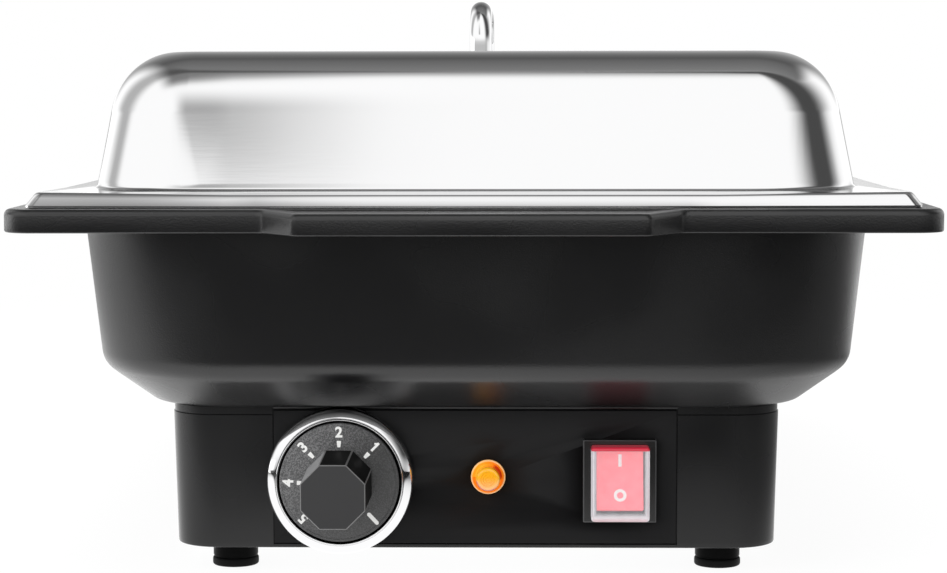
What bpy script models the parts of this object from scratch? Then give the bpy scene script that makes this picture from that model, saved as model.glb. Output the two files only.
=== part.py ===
# Electric food warmer for one full-size gastronorm pan.
# Metres, +Z up. The control side faces -Y, the long axis runs along Y.
# The origin is on the floor, under the middle of the object.

import math

import bmesh
import bpy

# Reference rectangle: the flange of the food pan. Every plan outline is this rectangle
# moved outwards (positive offset) or inwards (negative offset).
PAN_WIDTH = 0.325
PAN_LENGTH = 0.530
PAN_DEPTH = 0.065

# Shared fits
GAP = 0.0003
OVERRUN = 0.002
SHARP_ANGLE = math.radians(35)
MERGE_SHARE = 0.001

# Facets: round a plan corner, round large, middle and small turned pieces, and along bends
CORNER_STEPS = 6
LARGE_ROUND_STEPS = 32
ROUND_STEPS = 16
SMALL_ROUND_STEPS = 10
SMALL_BEND_STEPS = 2
EDGE_BEND_STEPS = 3
WALL_BEND_STEPS = 4
CROWN_STEPS = 6
HANDLE_BEND_STEPS = 7
HAIRPIN_STEPS = 12
CAPILLARY_STEPS = 14
THIN_TUBE_STEPS = 2
HANDLE_TUBE_STEPS = 4

# Food pan
PAN_FLANGE = 0.015
PAN_STEEL = 0.0008
PAN_DRAFT = math.radians(4.5)
PAN_CORNER = 0.045
PAN_EDGE_CORNER = 0.016
PAN_BEND = 0.003
PAN_FLOOR_BEND = 0.015

# Feet
FOOT_HEIGHT = 0.0115
FOOT_INSET_X = 0.0629
FOOT_INSET_Y = 0.063
FOOT_STEM_DIAMETER = 0.0184
FOOT_PAD_DIAMETER = 0.019
FOOT_PAD_HEIGHT = 0.0034
FOOT_PAD_ROUND = 0.0009
FOOT_STUD_DIAMETER = 0.004
FOOT_NUT_HEIGHT = 0.003
FOOT_STUD_PROUD = 0.001

# Base housing
BASE_HEIGHT = 0.0577
BASE_OFFSET = -0.0375
BASE_SIDE_INSET = 0.0015
BASE_SIDE_DRAFT = 0.0015
BASE_CORNER = 0.0186
BASE_WALL = 0.0035
BASE_FLANGE = 0.021
BASE_FLANGE_THICKNESS = 0.003
BASE_BAND_HEIGHT = 0.0034
BASE_BAND_STEP = 0.0004
POST_RADIUS = 0.004
POST_MERGE = 0.001
PLATE_RECESS = 0.003
PLATE_THICKNESS = 0.001

# Tub: bowl, rim and grip ledges
TUB_WALL = 0.0032
BOWL_OFFSET = -0.0045
BOWL_CORNER = 0.045
BOWL_HEIGHT = 0.0725
BOWL_DRAFT = math.radians(5.5)
BEVEL_SLOPE = math.radians(36)
BEVEL_HEIGHT = 0.0205
BOWL_BEND = 0.012
BOWL_FLOOR_BEND = 0.006
TUB_OPENING_OFFSET = -0.0613
TUB_OPENING_CORNER = 0.012
RIM_OFFSET = 0.0165
RIM_HEIGHT = 0.009
RIM_CORNER = 0.012
RIM_LIP = 0.0028
RIM_PLATE = 0.003
RIM_ROUND = 0.0025
RIM_GUSSET = 0.0036
REBATE_DEPTH = 0.0025
REBATE_OFFSET = -0.0043
LEDGE_REACH = 0.018
LEDGE_TIP_WIDTH = 0.132
LEDGE_ROOT_WIDTH = 0.160

# Water pan
WATER_PAN_CLEARANCE = 0.0015
WATER_PAN_STEEL = 0.0008

# Lid
LID_STEEL = 0.001
LID_HEIGHT = 0.0598
LID_SKIRT_OFFSET = 0.0085
LID_SKIRT_RUN = 0.0038
LID_SKIRT_HEIGHT = 0.0048
LID_HEM = 0.0006
LID_SKIRT_CORNER = 0.004
LID_FLANGE_RISE = 0.001
DOME_TOP_OFFSET = -0.0433
DOME_EDGE_BEND = 0.0292
DOME_FOOT_BEND = 0.004
DOME_DRAFT = math.radians(12)
DOME_FOOT_CORNER = 0.045
DOME_TOP_CORNER = 0.01
DOME_SIDE_INSET = 0.002

# Lid handle, a bent rod along Y
HANDLE_RISE = 0.025
HANDLE_SPAN = 0.115
HANDLE_DIAMETER = 0.0102
HANDLE_BEND = 0.014
HANDLE_SCREW_DIAMETER = 0.005
HANDLE_SCREW_REACH = 0.010
HANDLE_SCREW_HEAD = 0.0095
HANDLE_SCREW_HEAD_HEIGHT = 0.003
HANDLE_WASHER_DIAMETER = 0.016
HANDLE_WASHER_THICKNESS = 0.0012

# Control panel and the places along it
PANEL_WIDTH = 0.162
PANEL_MARGIN = 0.0018
PANEL_THICKNESS = 0.0017
PANEL_LIP = 0.005
PANEL_HOOK_WIDTH = 0.010
PANEL_HOOK_LEG = 0.0016
PANEL_HOOK_REACH = 0.0012
PANEL_HOOK_THICKNESS = 0.0015
PANEL_HOOK_SPACING = 0.100
KNOB_INSET = 0.027
SWITCH_INSET = 0.023
LAMP_SHARE = 0.53
LAMP_RISE = 0.0012

# Knob and bezel
BEZEL_DIAMETER = 0.059
BEZEL_HEIGHT = 0.009
BEZEL_OPENING = 0.0494
BEZEL_HEADROOM = 0.0005
# Shares of the ring's width (from its inner edge) and of its height, up the outer side
BEZEL_SHARES = [(1.00, 0.00), (0.90, 0.62), (0.74, 0.79), (0.50, 0.92), (0.28, 0.99), (0.08, 1.00)]
DIAL_CLEARANCE = 0.0008
DIAL_FACE = 0.0092
DIAL_THICKNESS = 0.0025
DIAL_EDGE = 0.0006
GRIP_HEIGHT = 0.034
GRIP_ACROSS = 0.026
GRIP_TAPER = 0.0008
GRIP_SIDES = 8
HUB_DIAMETER = 0.012
HUB_CLEARANCE = 0.0012
SHAFT_DIAMETER = 0.006
SHAFT_GRIP = 0.022
SHAFT_SEAT = 0.010

# Thermostat behind the panel
THERMOSTAT_WIDTH = 0.036
THERMOSTAT_DEPTH = 0.026
THERMOSTAT_COLLAR = 0.010
THERMOSTAT_SCREW_SPACING = 0.028
SCREW_DIAMETER = 0.0028
SCREW_HEAD_DIAMETER = 0.0056
SCREW_HEAD_HEIGHT = 0.0018
SCREW_REACH = 0.008

# Pilot lamp
LAMP_FLANGE_DIAMETER = 0.0139
LAMP_FLANGE_HEIGHT = 0.0018
LAMP_DOME_DIAMETER = 0.0098
LAMP_DOME_HEIGHT = 0.0085
LAMP_DOME_ROUND = 0.0016
LAMP_NECK_DIAMETER = 0.0096
LAMP_NECK_LENGTH = 0.0055
LAMP_BODY_DIAMETER = 0.0136
LAMP_BODY_LENGTH = 0.020
BLADE_WIDTH = 0.0048
BLADE_THICKNESS = 0.0008
BLADE_LENGTH = 0.007
BLADE_SPREAD_SHARE = 0.25

# Rocker switch
SWITCH_WIDTH = 0.0294
SWITCH_HEIGHT = 0.0333
SWITCH_FRAME_DEPTH = 0.005
SWITCH_OPENING_WIDTH = 0.0202
SWITCH_OPENING_HEIGHT = 0.0270
SWITCH_BODY_WALL = 0.0009
SWITCH_BODY_DEPTH = 0.022
BOOT_WALL = 0.0009
BOOT_SIDE_REACH = 0.0006
BOOT_DEPTH = 0.0085
ROCKER_SIDE_GAP = 0.0008
ROCKER_END_GAP = 0.0013
ROCKER_RISE = 0.0062
ROCKER_DIP = 0.0012
ROCKER_BACK = 0.0015
ROCKER_NOSE = 0.006
ROCKER_PIVOT_DEPTH = 0.0025
ROCKER_PIN_DIAMETER = 0.0024
ROCKER_PIN_LENGTH = 0.0016
ROCKER_THROW = math.radians(24)

# Heater under the water pan
HEATER_WIDTH = 0.140
HEATER_LENGTH = 0.260
HEATER_THICKNESS = 0.003
HEATER_CORNER = 0.010
HEATER_STUD_SPACING = 0.110
HEATER_STUD_DIAMETER = 0.005
HEATER_STUD_LENGTH = 0.0165
ELEMENT_DIAMETER = 0.008
ELEMENT_SPREAD = 0.080
ELEMENT_LEG = 0.170
CLAMP_WIDTH = 0.016
CLAMP_THICKNESS = 0.002
NUT_ACROSS = 0.008
NUT_HEIGHT = 0.004
CUTOUT_DIAMETER = 0.015
CUTOUT_HEIGHT = 0.006
CUTOUT_X = -0.018
BULB_DIAMETER = 0.006
BULB_LENGTH = 0.080
BULB_X = 0.018
CAPILLARY_DIAMETER = 0.0018
CAPILLARY_RISE = 0.009

# Supply side at the back
GLAND_X = 0.060
GLAND_THREAD = 0.016
GLAND_BORE = 0.0076
GLAND_HEX = 0.022
GLAND_FLANGE_DEPTH = 0.005
GLAND_DOME_DEPTH = 0.014
GLAND_DOME_DIAMETER = 0.019
GLAND_THREAD_INSIDE = 0.009
GLAND_NUT_DEPTH = 0.005
BLOCK_WIDTH = 0.040
BLOCK_DEPTH = 0.020
BLOCK_HEIGHT = 0.016
BLOCK_STEP = 0.005
BLOCK_SLOT = 0.0025
BLOCK_WAYS = 3
BLOCK_SETBACK = 0.050

# Heights worked out from the sizes above
PLATE_BOTTOM = FOOT_HEIGHT + PLATE_RECESS
PLATE_TOP = PLATE_BOTTOM + PLATE_THICKNESS
BASE_TOP = FOOT_HEIGHT + BASE_HEIGHT
TUB_BOTTOM = BASE_TOP + GAP
RIM_BOTTOM = TUB_BOTTOM + BOWL_HEIGHT
RIM_TOP = RIM_BOTTOM + RIM_HEIGHT
LEDGE_LEVEL = RIM_TOP - REBATE_DEPTH
WATER_PAN_BOTTOM = TUB_BOTTOM + TUB_WALL + WATER_PAN_CLEARANCE
PAN_FLANGE_UNDER = RIM_TOP + GAP
LID_BOTTOM = RIM_TOP + GAP
LID_TOP = LID_BOTTOM + LID_HEIGHT
HEATER_TOP = WATER_PAN_BOTTOM - GAP
HEATER_BOTTOM = HEATER_TOP - HEATER_THICKNESS
ELEMENT_Z = HEATER_BOTTOM - GAP - ELEMENT_DIAMETER / 2
CLAMP_TOP = ELEMENT_Z - ELEMENT_DIAMETER / 2 - GAP

# Places on the control side
PANEL_FRONT = -(PAN_LENGTH / 2 + BASE_OFFSET)
PANEL_BACK = PANEL_FRONT + PANEL_THICKNESS
PANEL_LOW = FOOT_HEIGHT + PANEL_MARGIN
PANEL_HIGH = BASE_TOP - PANEL_MARGIN
CONTROL_Z = TUB_BOTTOM - BEZEL_HEADROOM - BEZEL_DIAMETER / 2
KNOB_X = KNOB_INSET - PANEL_WIDTH / 2
SWITCH_X = PANEL_WIDTH / 2 - SWITCH_INSET
LAMP_X = KNOB_X + (SWITCH_X - KNOB_X) * LAMP_SHARE
LAMP_Z = CONTROL_Z + LAMP_RISE
BACK_FACE = -PANEL_FRONT


def clear_scene():
    for old in list(bpy.data.objects):
        bpy.data.objects.remove(old, do_unlink=True)


def material(name, color, roughness, metallic=0.0, alpha=1.0):
    mat = bpy.data.materials.new(name)
    mat.use_nodes = True
    shader = mat.node_tree.nodes["Principled BSDF"]
    shader.inputs["Base Color"].default_value = (*color, 1.0)
    shader.inputs["Roughness"].default_value = roughness
    shader.inputs["Metallic"].default_value = metallic
    shader.inputs["Alpha"].default_value = alpha
    return mat


def black_plastic(name):
    return material(name, (0.018, 0.018, 0.019), 0.42)


def steel(name):
    return material(name, (0.74, 0.74, 0.75), 0.18, 1.0)


def chrome(name):
    return material(name, (0.86, 0.86, 0.87), 0.05, 1.0)


def zinc(name):
    return material(name, (0.55, 0.56, 0.57), 0.38, 1.0)


def rubber(name):
    return material(name, (0.012, 0.012, 0.012), 0.7)


def pale_plastic(name):
    return material(name, (0.72, 0.70, 0.64), 0.5)


# Object helpers


def object_from(name, shape, mat, smooth=True):
    mesh = bpy.data.meshes.new(name)
    bmesh.ops.recalc_face_normals(shape, faces=shape.faces)
    shape.to_mesh(mesh)
    shape.free()
    if smooth:
        mesh.shade_smooth()
        mesh.set_sharp_from_angle(angle=SHARP_ANGLE)
    mesh.materials.append(mat)
    result = bpy.data.objects.new(name, mesh)
    bpy.context.scene.collection.objects.link(result)
    return result


def hide_tool(tool):
    tool.hide_render = True
    tool.display_type = "WIRE"


def boolean(target, tool, operation):
    change = target.modifiers.new(operation.lower() + "_" + tool.name, "BOOLEAN")
    change.object = tool
    change.operation = operation
    change.solver = "EXACT"
    hide_tool(tool)


def cut(target, tool):
    boolean(target, tool, "DIFFERENCE")


def unite(target, tool):
    boolean(target, tool, "UNION")


def place(item, x, y, z):
    item.location = (x, y, z)
    return item


def face_front(item, x, depth, z):
    """Turn an object so that its local +Z points out of the panel, towards -Y."""
    item.rotation_euler = (math.pi / 2, 0, 0)
    item.location = (x, depth, z)
    return item


def face_back(item, x, depth, z):
    item.rotation_euler = (-math.pi / 2, 0, 0)
    item.location = (x, depth, z)
    return item


def box(name, low, high, mat):
    shape = bmesh.new()
    bmesh.ops.create_cube(shape, size=1)
    for corner in shape.verts:
        for axis in range(3):
            middle = (low[axis] + high[axis]) / 2
            corner.co[axis] = middle + corner.co[axis] * (high[axis] - low[axis])
    return object_from(name, shape, mat, smooth=False)


def lathe(name, profile, steps, mat):
    """Turn (radius, height) points about local Z. Points on the axis are merged."""
    shape = bmesh.new()
    points = [shape.verts.new((radius, 0, height)) for radius, height in profile]
    edges = [shape.edges.new((points[i], points[(i + 1) % len(points)])) for i in range(len(points))]
    bmesh.ops.spin(
        shape, geom=points + edges, cent=(0, 0, 0), axis=(0, 0, 1),
        angle=math.tau, steps=steps, use_merge=True,
    )
    smallest = min(abs(a[0] - b[0]) + abs(a[1] - b[1]) for a, b in zip(profile, profile[1:]))
    bmesh.ops.remove_doubles(shape, verts=shape.verts, dist=smallest * MERGE_SHARE)
    bmesh.ops.dissolve_degenerate(shape, edges=shape.edges, dist=smallest * MERGE_SHARE)
    return object_from(name, shape, mat)


def rod(name, diameter, low, high, steps, mat):
    radius = diameter / 2
    return lathe(name, [(0, low), (radius, low), (radius, high), (0, high)], steps, mat)


def bore_cutter(name, shank_diameter, low, high, steps, mat):
    """Cutter for a hole whose flats clear a round shank by the gap."""
    return rod(name, (shank_diameter + 2 * GAP) / math.cos(math.pi / steps), low, high, steps, mat)


def prism(name, sides, across, low, high, mat, top_across=None, turn=0.0):
    """Regular prism about local Z, given by its size across the flats."""
    shape = bmesh.new()
    rings = []
    for size, height in ((across, low), (top_across or across, high)):
        radius = size / 2 / math.cos(math.pi / sides)
        angles = [turn + math.tau * (step + 1 / 2) / sides for step in range(sides)]
        rings.append([shape.verts.new((radius * math.cos(a), radius * math.sin(a), height)) for a in angles])
    for i in range(sides):
        j = (i + 1) % sides
        shape.faces.new((rings[0][i], rings[0][j], rings[1][j], rings[1][i]))
    shape.faces.new(reversed(rings[0]))
    shape.faces.new(rings[1])
    return object_from(name, shape, mat, smooth=False)


def arc(center, radius, start, end, steps):
    """Points on an arc in a section plane, angles in radians from the outward direction."""
    points = []
    for step in range(steps + 1):
        angle = start + (end - start) * step / steps
        points.append((center[0] + radius * math.cos(angle), center[1] + radius * math.sin(angle)))
    return points


def plan_loop(offset_x, offset_y, corner, z, ledge=None):
    """Rounded rectangle round the reference rectangle, anticlockwise from above.

    ledge is (reach, root half width, tip half width) of a ledge on the two short sides.
    """
    half_x = PAN_WIDTH / 2 + offset_x
    half_y = PAN_LENGTH / 2 + offset_y
    points = []
    for quarter, (side_x, side_y) in enumerate(((1, 1), (-1, 1), (-1, -1), (1, -1))):
        center = (side_x * (half_x - corner), side_y * (half_y - corner))
        start = quarter * math.pi / 2
        for point in arc(center, corner, start, start + math.pi / 2, CORNER_STEPS):
            points.append((*point, z))
        if ledge and quarter in (0, 2):
            reach, root, tip = ledge
            edge = side_y * half_y
            tip_edge = side_y * (half_y + reach)
            points += [
                (side_x * root, edge, z), (side_x * tip, tip_edge, z),
                (-side_x * tip, tip_edge, z), (-side_x * root, edge, z),
            ]
    return points


def skin(name, loops, mat, ring=False, cap_first=False, cap_last=False, thickness=0.0):
    """Join plan loops, listed up the outer side. A ring closes on itself; a sheet is solidified."""
    shape = bmesh.new()
    rows = [[shape.verts.new(point) for point in loop] for loop in loops]
    pairs = list(zip(rows, rows[1:]))
    if ring:
        pairs.append((rows[-1], rows[0]))
    for lower, upper in pairs:
        for i in range(len(lower)):
            j = (i + 1) % len(lower)
            shape.faces.new((lower[i], lower[j], upper[j], upper[i]))
    if cap_first:
        shape.faces.new(reversed(rows[0]))
    if cap_last:
        shape.faces.new(rows[-1])
    mesh = bpy.data.meshes.new(name)
    shape.to_mesh(mesh)
    shape.free()
    mesh.shade_smooth()
    mesh.set_sharp_from_angle(angle=SHARP_ANGLE)
    mesh.materials.append(mat)
    result = bpy.data.objects.new(name, mesh)
    bpy.context.scene.collection.objects.link(result)
    if thickness:
        sheet = result.modifiers.new("sheet", "SOLIDIFY")
        sheet.thickness = thickness
        sheet.offset = -1
        sheet.use_even_offset = True
    return result


def tube(name, points, diameter, resolution, mat, radii=None):
    """Round tube along points, as a mesh with closed ends."""
    path = bpy.data.curves.new(name + "_path", "CURVE")
    path.dimensions = "3D"
    path.fill_mode = "FULL"
    path.bevel_depth = diameter / 2
    path.bevel_resolution = resolution
    path.use_fill_caps = True
    spline = path.splines.new("POLY")
    spline.points.add(len(points) - 1)
    for index, point in enumerate(points):
        spline.points[index].co = (*point, 1)
        if radii:
            spline.points[index].radius = radii[index]
    guide = bpy.data.objects.new(name + "_path", path)
    bpy.context.scene.collection.objects.link(guide)
    bpy.context.view_layer.update()
    mesh = bpy.data.meshes.new_from_object(guide)
    bpy.data.objects.remove(guide, do_unlink=True)
    shape = bmesh.new()
    shape.from_mesh(mesh)
    bmesh.ops.remove_doubles(shape, verts=shape.verts, dist=diameter * MERGE_SHARE)
    return object_from(name, shape, mat)


# Sections shared by the tub and the water pan


def bowl_section(inset):
    """(offset, z) points of the bowl from its floor up to its bend, set in by inset from the outer side."""
    bend_z = TUB_BOTTOM + BEVEL_HEIGHT
    wall_run = (RIM_BOTTOM - bend_z) * math.tan(BOWL_DRAFT)
    bend_point = (BOWL_OFFSET - wall_run, bend_z)
    upper = (
        bend_point[0] - BOWL_BEND * math.cos(BOWL_DRAFT),
        bend_point[1] + BOWL_BEND * math.sin(BOWL_DRAFT),
    )
    bevel_angle = BEVEL_SLOPE - math.pi / 2
    bend_end = (
        upper[0] + BOWL_BEND * math.cos(bevel_angle),
        upper[1] + BOWL_BEND * math.sin(bevel_angle),
    )
    lower_z = TUB_BOTTOM + BOWL_FLOOR_BEND
    lower_end_z = lower_z + BOWL_FLOOR_BEND * math.sin(bevel_angle)
    lower_end = bend_end[0] - (bend_end[1] - lower_end_z) / math.tan(BEVEL_SLOPE)
    lower = (lower_end - BOWL_FLOOR_BEND * math.cos(bevel_angle), lower_z)
    floor = arc(lower, BOWL_FLOOR_BEND - inset, -math.pi / 2, bevel_angle, SMALL_BEND_STEPS)
    bend = arc(upper, BOWL_BEND - inset, bevel_angle, -BOWL_DRAFT, WALL_BEND_STEPS)
    return floor + bend


def bowl_offset_at(z, inset):
    """Offset of the drafted wall at a height, set in square to the wall."""
    return BOWL_OFFSET + (z - RIM_BOTTOM) * math.tan(BOWL_DRAFT) - inset / math.cos(BOWL_DRAFT)


def bowl_corner(offset):
    return BOWL_CORNER + offset - BOWL_OFFSET


# Tub


def make_tub():
    half_root = LEDGE_ROOT_WIDTH / 2
    half_tip = LEDGE_TIP_WIDTH / 2
    flush = (0, half_root, half_tip)
    ledge = (LEDGE_REACH, half_root, half_tip)
    ledge_inside = (LEDGE_REACH, half_root - RIM_LIP, half_tip - RIM_LIP)
    opening = TUB_OPENING_OFFSET
    loops = [plan_loop(opening, opening, TUB_OPENING_CORNER, TUB_BOTTOM, flush)]
    for offset, z in bowl_section(0):
        loops.append(plan_loop(offset, offset, bowl_corner(offset), z, flush))
    plate_under = RIM_TOP - RIM_PLATE
    gusset_z = plate_under - RIM_GUSSET
    wall = bowl_offset_at(gusset_z, 0)
    loops.append(plan_loop(wall, wall, bowl_corner(wall), gusset_z, flush))
    gusset = wall + RIM_GUSSET
    loops.append(plan_loop(gusset, gusset, bowl_corner(gusset), plate_under, flush))
    lip = RIM_OFFSET - RIM_LIP
    loops.append(plan_loop(lip, lip, RIM_CORNER - RIM_LIP, plate_under, ledge_inside))
    loops.append(plan_loop(lip, lip, RIM_CORNER - RIM_LIP, RIM_BOTTOM, ledge_inside))
    loops.append(plan_loop(RIM_OFFSET, RIM_OFFSET, RIM_CORNER, RIM_BOTTOM, ledge))
    edge = arc((RIM_OFFSET - RIM_ROUND, RIM_TOP - RIM_ROUND), RIM_ROUND, 0, math.pi / 2, EDGE_BEND_STEPS)
    for offset, z in edge:
        shrink = RIM_OFFSET - offset
        rounded = (LEDGE_REACH, half_root - shrink, half_tip - shrink)
        loops.append(plan_loop(offset, offset, RIM_CORNER - shrink, z, rounded))
    loops.append(plan_loop(REBATE_OFFSET, REBATE_OFFSET, bowl_corner(REBATE_OFFSET), RIM_TOP, flush))
    loops.append(plan_loop(REBATE_OFFSET, REBATE_OFFSET, bowl_corner(REBATE_OFFSET), LEDGE_LEVEL, flush))
    wall = bowl_offset_at(LEDGE_LEVEL, TUB_WALL)
    loops.append(plan_loop(wall, wall, bowl_corner(wall), LEDGE_LEVEL, flush))
    for offset, z in reversed(bowl_section(TUB_WALL)):
        loops.append(plan_loop(offset, offset, bowl_corner(offset), z, flush))
    loops.append(plan_loop(opening, opening, TUB_OPENING_CORNER, TUB_BOTTOM + TUB_WALL, flush))
    tub = skin("tub", loops, black_plastic("tub_black"), ring=True)
    for index, (x, y) in enumerate(tub_screw_places()):
        hole = bore_cutter(
            f"tub_hole_{index + 1}", SCREW_DIAMETER,
            TUB_BOTTOM - OVERRUN, TUB_BOTTOM + TUB_WALL + OVERRUN, SMALL_ROUND_STEPS, black_plastic("hole"),
        )
        cut(tub, place(hole, x, y, 0))
    return tub


def tub_screw_places():
    """Half way across the base's top flange, at the quarter points of its long sides."""
    x = PAN_WIDTH / 2 + BASE_OFFSET - BASE_WALL - (BASE_FLANGE - BASE_WALL) / 2
    y = PAN_LENGTH / 4
    return [(x, y), (-x, y), (-x, -y), (x, -y)]


# Pans


def make_water_pan():
    inset = TUB_WALL + WATER_PAN_CLEARANCE
    section = bowl_section(inset)
    loops = [plan_loop(offset, offset, bowl_corner(offset), z) for offset, z in section]
    flange_z = LEDGE_LEVEL + GAP
    bend = WATER_PAN_CLEARANCE
    wall = bowl_offset_at(flange_z - bend, inset)
    shoulder = arc((wall + bend, flange_z - bend), bend, math.pi, math.pi / 2, SMALL_BEND_STEPS)
    for offset, z in shoulder:
        loops.append(plan_loop(offset, offset, bowl_corner(offset), z))
    flange = REBATE_OFFSET - GAP
    loops.append(plan_loop(flange, flange, bowl_corner(flange), flange_z))
    return skin("water_pan", loops, steel("water_pan_steel"), cap_first=True, thickness=WATER_PAN_STEEL)


def make_food_pan():
    """Underside of the pan from its floor up and out to the flange; the steel lies inside it."""
    top = PAN_FLANGE_UNDER
    floor_z = top - PAN_DEPTH
    mouth = -PAN_FLANGE
    run = (top - floor_z) * math.tan(PAN_DRAFT)
    foot = mouth - run
    center = (foot - PAN_FLOOR_BEND, floor_z + PAN_FLOOR_BEND)
    section = arc(center, PAN_FLOOR_BEND, -math.pi / 2, -PAN_DRAFT, WALL_BEND_STEPS)
    loops = []
    for offset, z in section:
        loops.append(plan_loop(offset, offset, PAN_CORNER + offset - mouth, z))
    bend_center = (mouth + PAN_BEND, top - PAN_BEND)
    shoulder = arc(bend_center, PAN_BEND, math.pi - PAN_DRAFT, math.pi / 2, SMALL_BEND_STEPS)
    for offset, z in shoulder:
        loops.append(plan_loop(offset, offset, PAN_CORNER + offset - mouth, z))
    loops.append(plan_loop(0, 0, PAN_EDGE_CORNER, top))
    return skin("food_pan", loops, steel("food_pan_steel"), cap_first=True, thickness=PAN_STEEL)


# Lid


def dome_section():
    """(offset, z) points up the dome, from the crease at its foot to its flat top."""
    crease_z = LID_BOTTOM + LID_SKIRT_HEIGHT + LID_FLANGE_RISE
    crown = (DOME_TOP_OFFSET, LID_TOP - DOME_EDGE_BEND)
    crown_edge = arc(crown, DOME_EDGE_BEND, DOME_DRAFT, math.pi / 2, CROWN_STEPS)
    foot_z = crease_z + DOME_FOOT_BEND * (1 - math.sin(DOME_DRAFT))
    foot_offset = crown_edge[0][0] + (crown_edge[0][1] - foot_z) * math.tan(DOME_DRAFT)
    center = (foot_offset + DOME_FOOT_BEND * math.cos(DOME_DRAFT), crease_z + DOME_FOOT_BEND)
    foot = arc(center, DOME_FOOT_BEND, 3 * math.pi / 2, math.pi + DOME_DRAFT, SMALL_BEND_STEPS)
    return foot + crown_edge


def dome_loop(offset, z, foot_offset):
    """Loop of the dome, with rounder corners and steeper long sides towards its foot."""
    share = (offset - DOME_TOP_OFFSET) / (foot_offset - DOME_TOP_OFFSET)
    corner = DOME_TOP_CORNER + share * (DOME_FOOT_CORNER - DOME_TOP_CORNER)
    return plan_loop(offset - share * DOME_SIDE_INSET, offset, corner, z)


def make_lid_shell():
    skirt = LID_SKIRT_OFFSET
    skirt_top = skirt - LID_SKIRT_RUN
    loops = [
        plan_loop(skirt, skirt, LID_SKIRT_CORNER, LID_BOTTOM),
        plan_loop(skirt, skirt, LID_SKIRT_CORNER, LID_BOTTOM + LID_HEM),
        plan_loop(skirt_top, skirt_top, LID_SKIRT_CORNER, LID_BOTTOM + LID_SKIRT_HEIGHT),
    ]
    section = dome_section()
    for offset, z in section:
        loops.append(dome_loop(offset, z, section[0][0]))
    lid = skin("lid_shell", loops, steel("lid_steel"), cap_last=True, thickness=LID_STEEL)
    for index, y in enumerate(handle_leg_places()):
        hole = bore_cutter(
            f"lid_hole_{index + 1}", HANDLE_SCREW_DIAMETER,
            LID_TOP - LID_STEEL - OVERRUN, LID_TOP + OVERRUN, SMALL_ROUND_STEPS, steel("hole"),
        )
        cut(lid, place(hole, 0, y, 0))
    return lid


def handle_leg_places():
    return (-HANDLE_SPAN / 2, HANDLE_SPAN / 2)


def make_lid_handle():
    foot = LID_TOP + GAP
    top = LID_TOP + HANDLE_RISE - HANDLE_DIAMETER / 2
    half = HANDLE_SPAN / 2
    inner = half - HANDLE_BEND
    low = top - HANDLE_BEND
    near = arc((-inner, low), HANDLE_BEND, math.pi, math.pi / 2, HANDLE_BEND_STEPS)
    far = arc((inner, low), HANDLE_BEND, math.pi / 2, 0, HANDLE_BEND_STEPS)
    section = [(-half, foot)] + near + far + [(half, foot)]
    points = [(0, y, z) for y, z in section]
    handle = tube("lid_handle", points, HANDLE_DIAMETER, HANDLE_TUBE_STEPS, chrome("handle_chrome"))
    for index, y in enumerate(handle_leg_places()):
        bore = bore_cutter(
            f"handle_bore_{index + 1}", HANDLE_SCREW_DIAMETER,
            foot - OVERRUN, foot + HANDLE_SCREW_REACH, SMALL_ROUND_STEPS, chrome("hole"),
        )
        cut(handle, place(bore, 0, y, 0))
    return handle


def make_handle_fixings():
    """A screw and a washer inside the lid for each leg of the handle."""
    washer_top = LID_TOP - LID_STEEL - GAP
    washer_low = washer_top - HANDLE_WASHER_THICKNESS
    head_top = washer_low - GAP
    bore = HANDLE_SCREW_DIAMETER / 2 + GAP
    tip = LID_TOP + HANDLE_SCREW_REACH
    for index, y in enumerate(handle_leg_places()):
        ring = [
            (bore, washer_low), (HANDLE_WASHER_DIAMETER / 2, washer_low),
            (HANDLE_WASHER_DIAMETER / 2, washer_top), (bore, washer_top),
        ]
        washer = lathe(f"handle_washer_{index + 1}", ring, SMALL_ROUND_STEPS, zinc("washer_zinc"))
        place(washer, 0, y, 0)
        screw = screw_solid(
            f"handle_screw_{index + 1}", HANDLE_SCREW_HEAD, HANDLE_SCREW_HEAD_HEIGHT,
            HANDLE_SCREW_DIAMETER, tip - head_top, zinc("handle_screw_zinc"),
        )
        place(screw, 0, y, head_top)


def screw_solid(name, head_diameter, head_height, diameter, length, mat):
    """Screw about local Z: the underside of its head at 0, its shank up to length."""
    profile = [
        (0, -head_height), (head_diameter / 2, -head_height), (head_diameter / 2, 0),
        (diameter / 2, 0), (diameter / 2, length), (0, length),
    ]
    return lathe(name, profile, SMALL_ROUND_STEPS, mat)


# Base housing and what closes it


def base_half_width(z):
    """Half width of the base's drafted sides at a height."""
    share = (BASE_TOP - z) / BASE_HEIGHT
    return PAN_WIDTH / 2 + BASE_OFFSET - BASE_SIDE_INSET - share * BASE_SIDE_DRAFT


def base_loop(inset, z, corner_inset):
    offset_x = base_half_width(z) - PAN_WIDTH / 2 - inset
    offset_y = BASE_OFFSET - inset
    return plan_loop(offset_x, offset_y, BASE_CORNER - corner_inset, z)


def post_places():
    """In the inner corners, just merging into the wall."""
    reach = (BASE_CORNER - BASE_WALL - POST_RADIUS + POST_MERGE) / math.sqrt(2)
    x = base_half_width(FOOT_HEIGHT) - BASE_CORNER + reach
    y = PAN_LENGTH / 2 + BASE_OFFSET - BASE_CORNER + reach
    return [(x, y), (-x, y), (-x, -y), (x, -y)]


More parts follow.
